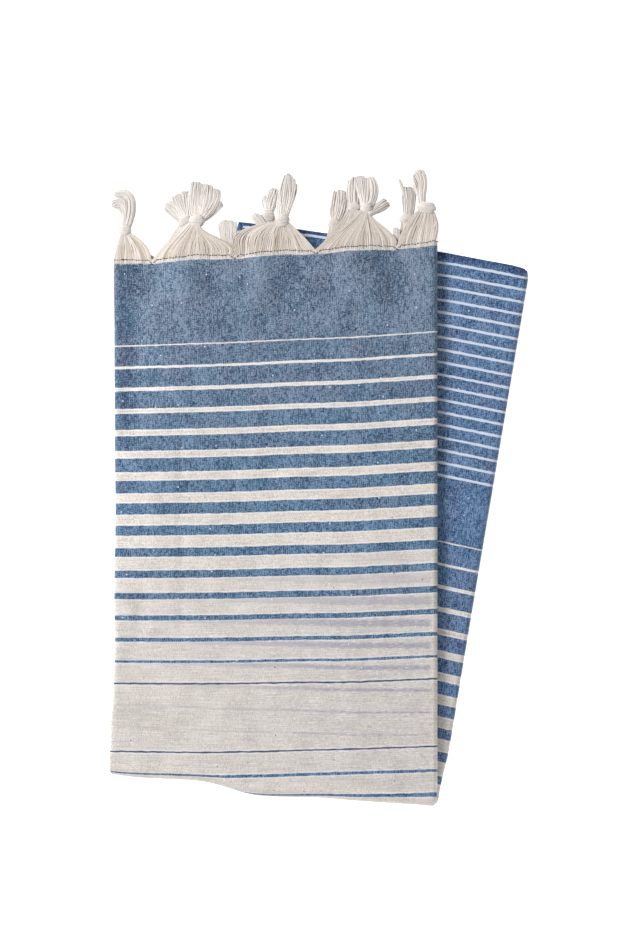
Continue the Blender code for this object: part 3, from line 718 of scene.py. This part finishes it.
def make_cloth(material):
    columns = column_stations()
    rows = row_stations(columns)
    shape = bmesh.new()
    bmesh.ops.create_grid(shape, x_segments=len(columns) - 1, y_segments=len(rows) - 1, size=1.0)
    grown = bmesh.ops.extrude_face_region(shape, geom=list(shape.faces))
    upper = [item for item in grown["geom"] if isinstance(item, bmesh.types.BMVert)]
    bmesh.ops.translate(shape, verts=upper, vec=(0, 0, 1))
    bmesh.ops.recalc_face_normals(shape, faces=shape.faces)

    flat = np.array([vert.co for vert in shape.verts])
    column = np.rint((flat[:, 0] + 1) / 2 * (len(columns) - 1)).astype(int)
    row = np.rint((flat[:, 1] + 1) / 2 * (len(rows) - 1)).astype(int)
    u, v, w = columns[column], rows[row, column], CLOTH_THICK * flat[:, 2]
    for vert, spot in zip(shape.verts, place(u, v, w) * MM):
        vert.co = spot
    bend_row = HEM_ROWS + UPPER_ROWS
    lay_pattern(shape, u, v, w, rows[bend_row, column], rows[bend_row + BEND_ROWS, column])
    return make_piece("folded_cloth", shape, material)


# ---------------- fringe

TASSEL_PITCHES = 16
STRAIGHT = ((1 / 3, 2 / 3), (1 / 3, 2 / 3))


class Lock(NamedTuple):
    """A lock of a tail: its route in plan, half widths, and heights above what the tassel lies on."""
    route: tuple
    half: tuple
    lanes: tuple


class Tassel(NamedTuple):
    """A tassel of the solids; its knot's height, too, is above what the tassel lies on."""
    name: str
    kind: str  # front, under, hidden or inner
    knot_at: int  # the number of its knot along the hem
    tilt: float
    knot: tuple
    size: tuple  # half sizes of the knot
    locks: tuple
    skirt: tuple = (-0.5, 0.5)  # the part of its pitch that its skirt covers
    sides: tuple = STRAIGHT  # how far its left and right yarns are drawn in, one and two thirds up
    belly: float = 0.0  # how far its last yarns swell


TASSELS = (
    Tassel("front_1", "front", 8, tilt=-4, knot=(-149.8, 198.6, 6.2), size=(4.5, 4.0, 3.2),
           sides=((0.1, 0.38), (0.33, 0.7)), locks=(
        Lock(((-149.4, 198.6), (-146.2, 212.5), (-147.4, 224.0), (-158.4, 225.6)),
             (2.8, 4.4, 4.2, 3.0), (5.6, 4.0, 1.0)),
        Lock(((-150.0, 199.0), (-149.0, 210.5), (-151.8, 218.2), (-160.6, 217.0)),
             (2.4, 4.2, 3.4), (5.2, 3.4, 1.0)),
    )),
    Tassel("front_2", "front", 7, tilt=-6, knot=(-94.0, 205.2, 11.2), size=(5.5, 4.2, 3.2),
           sides=((0.27, 0.58), (0.17, 0.9)), locks=(
        Lock(((-94.4, 204.6), (-94.8, 220.6), (-94.0, 236.6)), (3.2, 6.0, 4.4), (10.6, 6.0, 1.0)),
        Lock(((-92.6, 204.6), (-88.6, 220.2), (-86.6, 234.6)), (2.8, 5.6, 4.6), (10.2, 5.4, 0.8)),
        Lock(((-91.6, 204.6), (-82.8, 218.6), (-80.2, 231.2)), (2.2, 4.6, 3.8), (9.4, 4.4, 0.8)),
        Lock(((-91.0, 205.0), (-82.0, 213.8), (-75.2, 220.4)), (1.8, 3.6, 3.2), (8.6, 3.6, 0.8)),
    )),
    Tassel("front_3", "front", 6, tilt=10, knot=(-28.2, 205.4, 11.2), size=(5.1, 4.8, 3.4),
           sides=((-0.04, 0.12), (0.33, 0.67)), locks=(
        Lock(((-28.4, 204.4), (-26.2, 222.6), (-23.4, 243.0)), (3.2, 6.0, 2.6), (11.0, 6.0, 1.0)),
        Lock(((-27.0, 206.0), (-21.8, 224.0), (-20.2, 238.6)), (1.8, 3.2, 2.0), (10.0, 5.0, 0.8)),
    )),
    Tassel("front_4", "front", 5, tilt=-12, knot=(36.8, 214.8, 11.2), size=(4.3, 4.2, 3.2),
           sides=((0.35, 0.7), (0.22, 0.82)), locks=(
        Lock(((37.0, 214.6), (40.0, 228.0), (38.6, 240.0)), (2.8, 5.8, 3.6), (11.0, 6.0, 1.0)),
        Lock(((36.4, 214.6), (34.2, 227.4), (31.4, 241.4)), (2.2, 4.4, 3.4), (10.4, 5.6, 0.8)),
        Lock(((38.4, 210.8), (46.4, 215.8), (53.8, 220.6)), (2.0, 3.8, 3.8), (10.8, 8.0, 4.0)),
    )),
    Tassel("front_5", "front", 4, tilt=-10, knot=(83.3, 215.6, 10.6), size=(6.6, 4.2, 3.2),
           skirt=(0.0, 0.5), belly=3.6, sides=((0.17, 0.5), (0.33, 0.67)), locks=(
        Lock(((80.6, 215.6), (79.4, 227.0), (79.0, 236.4), (74.4, 244.8)),
             (2.8, 3.4, 5.0, 4.2), (10.0, 5.0, 1.0)),
        Lock(((79.0, 219.0), (75.4, 228.0), (73.6, 234.0)), (0.6, 0.6, 0.7), (9.0, 5.0, 1.4)),
    )),
    Tassel("second_1", "under", 9, tilt=24, knot=(-102.6, 204.0, 6.8), size=(5.2, 4.4, 2.4), locks=(
        Lock(((-102.0, 204.0), (-110.2, 212.0), (-118.4, 219.4)), (2.6, 5.0, 4.4), (6.0, 3.0, 0.8)),
        Lock(((-101.4, 205.4), (-106.4, 216.2), (-110.2, 226.8)), (2.6, 5.2, 4.6), (5.6, 3.0, 0.8)),
        Lock(((-100.7, 206.0), (-101.7, 217.6), (-103.8, 229.8)), (2.4, 4.8, 4.2), (5.6, 3.0, 0.8)),
    )),
    Tassel("second_2", "under", 10, tilt=-14, knot=(-39.2, 208.1, 6.6), size=(4.8, 6.2, 2.6), locks=(
        Lock(((-38.8, 210.0), (-36.8, 221.0), (-33.8, 231.6)), (3.0, 4.6, 3.2), (6.0, 3.2, 0.8)),
        Lock(((-39.4, 210.0), (-40.2, 218.6), (-40.2, 226.0)), (2.4, 3.6, 3.0), (5.6, 3.2, 1.2)),
    )),
    Tassel("second_3", "under", 11, tilt=12, knot=(27.2, 215.2, 6.6), size=(4.6, 4.2, 2.2), locks=(
        Lock(((27.2, 214.6), (27.2, 227.6), (27.8, 240.0)), (3.0, 5.8, 3.6), (6.0, 3.2, 0.8)),
    )),
    Tassel("second_4", "under", 12, tilt=-22, knot=(67.9, 205.7, 6.0), size=(5.5, 4.6, 2.2), locks=(
        Lock(((68.6, 205.7), (69.4, 219.0), (69.3, 233.0)), (2.8, 5.0, 4.8), (5.4, 3.0, 0.8)),
        Lock(((68.0, 220.0), (64.4, 231.0), (62.0, 238.4)), (0.7, 0.9, 0.4), (4.0, 2.0, 1.0)),
    )),
    Tassel("third_1", "under", 13, tilt=10, knot=(11.7, 203.0, 4.2), size=(4.2, 4.2, 2.0), locks=(
        Lock(((12.2, 203.0), (15.4, 216.6), (16.6, 230.2)), (2.8, 6.6, 5.2), (4.0, 2.6, 0.8)),
    )),
    Tassel("third_2", "hidden", 14, tilt=15, knot=(-30.0, 189.0, 3.6), size=(4.2, 3.4, 0.9), locks=(
        Lock(((-30.0, 189.0), (-24.0, 195.0), (-14.0, 192.0)), (1.4, 2.0), (3.6, 3.6)),
    )),
    Tassel("third_3", "hidden", 15, tilt=15, knot=(-99.0, 188.0, 3.6), size=(4.2, 3.4, 0.9), locks=(
        Lock(((-99.0, 188.0), (-94.0, 194.0), (-84.0, 190.0)), (1.4, 2.0), (3.6, 3.6)),
    )),
    Tassel("third_4", "hidden", 16, tilt=15, knot=(-146.0, 186.0, 3.4), size=(4.0, 3.2, 0.8),
           skirt=(-0.5, 0.0), locks=(
        Lock(((-146.0, 186.0), (-143.0, 189.0), (-139.0, 182.0)), (1.2, 1.6), (3.4, 3.4)),
    )),
    Tassel("last_1", "hidden", 3, tilt=15, knot=(36.0, 194.0, 1.3), size=(4.2, 3.4, 1.1), locks=(
        Lock(((36.0, 194.0), (42.0, 200.0), (50.0, 195.0)), (1.4, 2.0), (1.3, 1.0)),
    )),
    Tassel("last_2", "hidden", 2, tilt=15, knot=(-36.0, 188.0, 1.3), size=(4.2, 3.4, 1.1), locks=(
        Lock(((-36.0, 188.0), (-30.0, 194.0), (-22.0, 190.0)), (1.4, 2.0), (1.3, 1.0)),
    )),
    Tassel("last_3", "hidden", 1, tilt=15, knot=(-92.0, 187.0, 1.3), size=(4.2, 3.4, 1.1), locks=(
        Lock(((-92.0, 187.0), (-86.0, 193.0), (-77.0, 189.0)), (1.4, 2.0), (1.3, 1.0)),
    )),
    Tassel("last_4", "hidden", 0, tilt=15, knot=(-147.0, 185.0, 1.2), size=(4.0, 3.2, 1.0),
           skirt=(0.0, 0.5), locks=(
        Lock(((-147.0, 185.0), (-144.0, 188.0), (-140.0, 181.0)), (1.2, 1.6), (1.2, 1.0)),
    )),
    Tassel("inner_1", "inner", 7, tilt=15, knot=(-68.6, 173.0, 7.8), size=(4.4, 4.0, 0.8),
           skirt=(-0.5, 0.1), locks=(
        Lock(((-68.6, 173.0), (-69.4, 190.0), (-70.2, 206.2)), (2.0, 5.6, 7.4), (7.8, 8.0, 7.6)),
    )),
    Tassel("inner_2", "inner", 6, tilt=15, knot=(-36.0, 176.0, 8.0), size=(4.4, 4.0, 0.8),
           skirt=(-0.3, 0.3), locks=(
        Lock(((-36.0, 176.0), (-41.0, 197.0), (-51.6, 210.6)), (1.6, 3.2, 3.8), (8.0, 8.4, 8.6)),
    )),
    Tassel("inner_3", "inner", 5, tilt=15, knot=(62.0, 175.0, 7.8), size=(4.4, 4.0, 0.8),
           skirt=(-0.5, 0.1), locks=(
        Lock(((62.0, 175.0), (60.4, 189.0), (59.4, 200.8)), (1.6, 2.4, 2.6), (7.8, 7.8, 7.6)),
    )),
)

YARN_SIDES, YARN_STEPS = 5, 13
YARN_RADIUS = 0.56
TWIST_PITCH = 2.2  # length of one turn of a yarn's twist
FLOOR_CLEAR = 0.05

SKIRT_YARNS = 76  # yarns of a whole skirt that lie on top; as many lie half a yarn lower
PAIR_PULL = 0.18  # yarns lie in pairs: each is drawn this share of their spacing to the other
COMB = 3.6  # the fringe is the warp: its yarns leave the weave this far inside the hem
SEAM_GAP = 0.35
KNOT_ENTRY = 0.66  # a skirt's yarns enter its knot over this share of the knot's width
SKIRT_STRAY, SKIRT_WAVE = 0.35, 0.2
SKIRT_CROWN, SKIRT_THINNING = 0.7, 0.22
PAIR_TONE = (0.42, 0.2)  # mean and spread of tones from 0, deep, to 1, pale

LOCK_YARNS = 17.0  # yarns in a lock for each millimetre of its mean half width
LOCK_THICK = 2.3  # half the thickness of a lock, at the knot
PLAIN_YARNS = 12  # yarns in the tail of a tassel that lies hidden
TAIL_STRAY, TAIL_WAVE = 0.35, 0.3
TAIL_TONE = (0.6, 0.12)

KNOT_TURNS = (-0.6, 0.0, 0.6)
TURN_TILT = 11  # each turn of a knot is tilted this much more than the one before
WRAP_YARNS, WRAP_SPACING = 4, 0.18  # yarns side by side in each turn, and their spacing
KNOT_TONE, KNOT_WARMTH = (0.72, 0.12), 0.4
# painted shade: the knot's core is deep in tone, so the gaps between its turns look shaded
PAINTED_CORE_SHADE = 0.1
UPWARD = np.array((0.0, 0.0, 1.0))


def through(stops, share):
    """A smooth curve through evenly spaced stops."""
    spots = np.linspace(0.0, 1.0, len(stops))
    parts = [np.prod([(share - other) / (spot - other) for other in spots if other != spot], axis=0)
             for spot in spots]
    return np.tensordot(parts, np.array(stops, float), (0, 0))


def yarn_template():
    """One straight yarn of unit radius, with rings of corners along it."""
    shape = bmesh.new()
    bmesh.ops.create_cone(shape, cap_ends=True, segments=YARN_SIDES, radius1=1, radius2=1, depth=1)
    lengthwise = [edge for edge in shape.edges if abs(edge.verts[0].co.z - edge.verts[1].co.z) > 0.5]
    bmesh.ops.subdivide_edges(shape, edges=lengthwise, cuts=YARN_STEPS - 1)
    layer = shape.loops.layers.uv.new("yarn_run")
    for face in shape.faces:
        turn = [math.atan2(loop.vert.co.y, loop.vert.co.x) / math.tau for loop in face.loops]
        wraps = max(turn) - min(turn) > 0.5
        for loop, share in zip(face.loops, turn):
            loop[layer].uv = (share + 1 if wraps and share < 0 else share, loop.vert.co.z + 0.5)
    mesh = bpy.data.meshes.new("yarn_template")
    shape.to_mesh(mesh)
    shape.free()
    return mesh


def yarn_bundle(name, template, yarns, core, material):
    """Yarns as one mesh, each a path, radii, the side it lies on, tone and warmth, with a knot's core."""
    paths, radii, normals, tones, warmths = (np.array(values) for values in zip(*yarns))
    shape = bmesh.new()
    for _ in yarns:
        shape.from_mesh(template)
    mould = np.array([vert.co for vert in template.vertices])
    ring = np.rint((mould[:, 2] + 0.5) * YARN_STEPS).astype(int)
    runs = unit(np.gradient(paths, axis=1))
    sides = unit(np.cross(runs, normals[:, None, :]))
    rises = np.cross(sides, runs)
    corners = paths[:, ring] + radii[:, ring, None] * (mould[:, 0, None] * sides[:, ring]
                                                       + mould[:, 1, None] * rises[:, ring])
    corners[..., 2] = np.maximum(corners[..., 2], FLOOR_CLEAR)
    tone_layer = shape.verts.layers.float.new("tone")
    warm_layer = shape.verts.layers.float.new("warmth")
    looks = zip(corners.reshape(-1, 3) * MM, np.repeat(tones, len(mould)), warmths[:, ring].reshape(-1))
    for vert, (spot, tone, warmth) in zip(shape.verts, looks):
        vert.co = spot
        vert[tone_layer] = tone
        vert[warm_layer] = warmth
    layer = shape.loops.layers.uv["yarn_run"]
    lengths = np.linalg.norm(np.diff(paths, axis=1), axis=-1).sum(axis=1)
    faces_each = len(template.polygons)
    for index, face in enumerate(shape.faces):
        for loop in face.loops:
            loop[layer].uv.y *= lengths[index // faces_each] / TWIST_PITCH
    if core is not None:
        centre, size = core
        ball = bmesh.ops.create_uvsphere(shape, u_segments=20, v_segments=12, radius=1.0)["verts"]
        bmesh.ops.scale(shape, verts=ball, vec=Vector(size) * MM)
        bmesh.ops.translate(shape, verts=ball, vec=Vector(centre) * MM)
        # the core takes the deep tone of painted shade
        for vert in ball:
            vert[tone_layer] = PAINTED_CORE_SHADE
            vert[warm_layer] = KNOT_WARMTH
    bmesh.ops.recalc_face_normals(shape, faces=shape.faces)
    return make_piece(name, shape, material)


def hem_station(row, out):
    return CLOTH_LENGTH + out if row.kind == "inner" else -out


def lifted(row, x, y, lane):
    """Height of a place of a tassel that is this far above what it lies on."""
    if row.kind == "inner":
        return lane + upper_lift(x, y, np.asarray(lane, float))
    return lane + fringe_support(x, y)


def skirt_yarns(row, random):
    """Yarns of a skirt, from inside the hem to the knot, in two layers."""
    pitch = CLOTH_WIDTH / TASSEL_PITCHES
    first = max((row.knot_at + row.skirt[0]) * pitch, 0.0) + SEAM_GAP
    last = min((row.knot_at + row.skirt[1]) * pitch, CLOTH_WIDTH) - SEAM_GAP
    count = max(int(SKIRT_YARNS * (last - first) / pitch), 8)
    if row.kind in ("hidden", "inner"):
        count //= 2
    ends = folded(np.array((first, last)), hem_station(row, 0.0), 0.0)[:, 0]
    facing = math.copysign(1.0, ends[1] - ends[0])
    knot = np.array(row.knot)
    (left_1, left_2), (right_1, right_2) = row.sides
    t = np.concatenate([[-1.0, -0.45], np.linspace(0.0, 1.0, YARN_STEPS - 1)])
    out = np.maximum(t, 0.0)
    yarns = []
    for layer in (0, 1):
        tone = 0.5
        for index in range(count):
            pull = PAIR_PULL if index % 2 == 0 else -PAIR_PULL
            share = (index + 0.5 + 0.5 * layer + pull) / (count + 0.5)
            u = first + (last - first) * share + random.normal(0.0, 0.1)
            depth = 0.8 if layer == 0 and row.kind == "front" else 0.5
            comb = np.minimum(t, 0.0) * (COMB + random.normal(0.0, 0.5))
            root = place(np.full_like(t, u), hem_station(row, comb), CLOTH_THICK * depth)
            if row.kind == "inner":
                lane = folded(u, hem_station(row, 0.0), CLOTH_THICK * depth)[2] - HALF_LIFT
            else:
                lane = root[:, 2] - fringe_support(root[:, 0], root[:, 1])
            fan = (2 * share - 1) * facing
            across = (fan + 1) / 2
            drawn = through((0.0, left_1 + (right_1 - left_1) * across,
                             left_2 + (right_2 - left_2) * across, 1.0), out)
            entry = row.size[0] * KNOT_ENTRY * fan + random.normal(0.0, 0.3)
            x = root[:, 0] + (knot[0] + entry - root[:, 0]) * drawn
            y = root[:, 1] + (knot[1] - root[:, 1]) * out
            stray = random.normal(0.0, SKIRT_STRAY) + row.belly * max(fan, 0.0) ** 2
            x = x + stray * np.sin(math.pi * out) + random.normal(0.0, SKIRT_WAVE) * np.sin(math.tau * out)
            crown = row.size[2] * SKIRT_CROWN * (1 - fan ** 2) * (0.5 - layer)
            lanes = lane + (knot[2] + crown - lane) * smooth_step(out)
            path = np.stack([x, y, lifted(row, x, y, lanes)], -1)
            radii = YARN_RADIUS * (1.0 - SKIRT_THINNING * out) * (1 + 0.08 * random.normal())
            radii[0] *= 0.4
            tone = tone if index % 2 else random.normal(*PAIR_TONE)
            warmth = np.where(t < 0, 0.1, np.clip(0.85 - 0.5 * out ** 3 + random.normal(0.0, 0.1), 0.0, 1.0))
            yarns.append((path, radii, UPWARD, np.clip(tone + random.normal(0.0, 0.08), 0.0, 0.9), warmth))
    return yarns


def lock_yarns(row, lock, random):
    """Yarns of a lock of a tail, from inside the knot to their cut ends."""
    t = np.linspace(0.0, 1.0, YARN_STEPS + 1)
    golden = math.pi * (3 - math.sqrt(5))
    plain = row.kind in ("hidden", "inner")
    count = PLAIN_YARNS if row.kind == "hidden" else max(int(LOCK_YARNS * np.mean(lock.half)), 3)
    tall = min(0.7 * row.size[2] if plain else LOCK_THICK, np.mean(lock.half))
    length = np.linalg.norm(np.diff(lock.route, axis=0), axis=-1).sum()
    yarns = []
    for index in range(count):
        reach = math.sqrt((index + 0.5) / count)
        fan, rise = reach * math.cos(index * golden), reach * math.sin(index * golden)
        cut = 1.0 - (1.6 * fan ** 2 + 1.4 * abs(random.normal())) / length
        s = t * cut
        spot, half = through(lock.route, s), np.maximum(through(lock.half, s), 0.4)
        run = unit(np.gradient(spot, axis=0))
        stray = random.normal(0.0, TAIL_STRAY) * s ** 2
        stray = stray + random.normal(0.0, TAIL_WAVE) * np.sin(math.tau * (s + random.rand()))
        aside = half * fan + stray * np.minimum(4 * s, 1)
        spot = spot + np.stack([run[:, 1], -run[:, 0]], -1) * aside[:, None]
        lanes = np.maximum(through(lock.lanes, s) + tall * (1 - 0.3 * s) * rise, YARN_RADIUS)
        path = np.stack([spot[:, 0], spot[:, 1], lifted(row, spot[:, 0], spot[:, 1], lanes)], -1)
        radii = YARN_RADIUS * (0.95 - 0.4 * s ** 6) * (1 + 0.1 * random.normal())
        tone = np.clip(random.normal(*TAIL_TONE), 0.0, 0.9)
        warmth = np.clip(0.4 - 0.25 * s + random.normal(0.0, 0.12), 0.0, 1.0)
        yarns.append((path, radii, UPWARD, tone, warmth))
    return yarns


def knot_yarns(row, centre, random):
    """Turns of yarn round the knot, each turn a few yarns side by side."""
    t = np.linspace(-0.5 * math.pi, 1.5 * math.pi, YARN_STEPS + 1)
    wide, deep, high = row.size
    thick = min(0.6, 0.4 * high)
    yarns = []
    for number, middle in enumerate(KNOT_TURNS):
        tilt = math.radians(row.tilt + TURN_TILT * (number - 1) + random.normal(0.0, 4.0))
        normal = np.array((-math.sin(tilt), math.cos(tilt), 0.0))
        across = np.array((normal[1], -normal[0], 0.0))
        for yarn in range(WRAP_YARNS):
            offset = deep * (middle + (yarn - (WRAP_YARNS - 1) / 2) * WRAP_SPACING)
            girth = math.sqrt(max(1 - (offset / (deep * 1.2)) ** 2, 0.1)) * (1.06 if number == 1 else 1.0)
            path = (centre + normal * offset + across * (wide * girth * np.cos(t))[:, None]
                    + UPWARD * ((high - thick) * girth * np.sin(t))[:, None])
            radii = np.full(YARN_STEPS + 1, thick) * (1 + 0.06 * random.normal())
            tone = np.clip(random.normal(*KNOT_TONE), 0.2, 0.95)
            yarns.append((path, radii, normal, tone, np.full(YARN_STEPS + 1, KNOT_WARMTH)))
    return yarns


def make_tassel(row, template, material):
    node = "tassel_" + row.name
    random = np.random.RandomState(sum(ord(letter) for letter in node))
    x, y, lane = row.knot
    centre = np.array((x, y, float(lifted(row, x, y, lane))))
    yarns = skirt_yarns(row, random) + knot_yarns(row, centre, random)
    for lock in row.locks:
        yarns += lock_yarns(row, lock, random)
    piece = yarn_bundle(node + "_yarns", template, yarns, (centre, row.size), material)
    dress(piece, "fringe_cotton", node)
    return piece


# ---------------- hem stitches

STITCH_PITCH, STITCH_LENGTH = 2.35, 1.9
STITCH_RADIUS = 0.3
STITCH_DIP, STITCH_DIP_WIDE = 3.0, 3.5  # the row dips towards the blue where two skirts meet


def make_stitches(template, material):
    """A row of running stitches along the first hem, each dipping into the cloth at its ends."""
    random = np.random.RandomState(7)
    t = np.linspace(0.0, 1.0, YARN_STEPS + 1)
    pitch = CLOTH_WIDTH / TASSEL_PITCHES
    yarns = []
    for start in np.arange(1.0, CLOTH_WIDTH - STITCH_LENGTH - 1.0, STITCH_PITCH):
        length = STITCH_LENGTH + random.normal(0.0, 0.25)
        u = start + length * t
        from_gap = np.abs((u / pitch) % 1.0 - 0.5) * pitch
        dip = STITCH_DIP * np.clip(1 - from_gap / STITCH_DIP_WIDE, 0.0, 1.0)
        v = 0.4 + random.normal(0.0, 0.15) + random.normal(0.0, 0.2) * t + dip
        path = place(u, v, CLOTH_THICK + 0.1 + 0.5 * np.sin(math.pi * t))
        radii = STITCH_RADIUS * (0.5 + 0.5 * np.sin(math.pi * t) ** 0.5)
        yarns.append((path, radii, UPWARD, 0.5, np.zeros_like(t)))
    piece = yarn_bundle("hem_stitches", template, yarns, None, material)
    dress(piece, "woven_cotton")
    return piece


# ---------------- stage

VIEW_TALL = 931 * 0.77  # height of the picture at the towel, at 0.77 mm a pixel
VIEW_MIDDLE = (-6.4, 16.7)
LENS = 200.0
SENSOR = 24.0
FLOOR_GLOW, ROOM_GLOW = 0.66, 0.42
# Name, size in metres, watts and place in metres
LAMPS = (("soft_key", 1.0, 75.0, (-1.5, 1.1, 1.7)), ("low_fill", 1.2, 13.0, (0.2, -1.9, 0.9)))


def make_stage():
    shape = bmesh.new()
    bmesh.ops.create_grid(shape, x_segments=1, y_segments=1, size=4.0)
    material, _, shader = new_material("matt_white_board", 0.95, 0.0)
    shader.inputs["Base Color"].default_value = linear("ffffff")
    shader.inputs["Emission Color"].default_value = (1.0, 1.0, 1.0, 1.0)
    shader.inputs["Emission Strength"].default_value = FLOOR_GLOW
    floor = make_piece("floor", shape, material)

    world = bpy.context.scene.world or bpy.data.worlds.new("studio")
    bpy.context.scene.world = world
    world.use_nodes = True
    room = world.node_tree.nodes["Background"]
    room.inputs["Color"].default_value = (1.0, 1.0, 1.0, 1.0)
    room.inputs["Strength"].default_value = ROOM_GLOW

    for name, size, energy, spot in LAMPS:
        light = bpy.data.lights.new(name, 'AREA')
        light.shape = 'SQUARE'
        light.size = size
        light.energy = energy
        lamp = bpy.data.objects.new(name, light)
        lamp.location = spot
        lamp.rotation_euler = (Vector((0, 0, 0)) - lamp.location).to_track_quat('-Z', 'Y').to_euler()
        bpy.context.scene.collection.objects.link(lamp)

    lens = bpy.data.cameras.new("copy_stand")
    lens.sensor_fit = 'VERTICAL'
    lens.sensor_height = SENSOR
    lens.lens = LENS
    camera = bpy.data.objects.new("copy_stand", lens)
    above = VIEW_TALL * LENS / SENSOR + 2 * HALF_LIFT
    camera.location = [length * MM for length in (*VIEW_MIDDLE, above)]
    bpy.context.scene.collection.objects.link(camera)
    bpy.context.scene.camera = camera
    bpy.context.scene.view_settings.view_transform = 'Standard'


# ---------------- the towel

make_stage()
towel = make_cloth(woven_cotton())
dress(towel, "woven_cotton", "towel_cloth")
template = yarn_template()
yarn = yarn_cotton()
fringe = [make_tassel(row, template, yarn) for row in TASSELS]
stitches = make_stitches(template, sewing_thread())
bpy.data.meshes.remove(template)
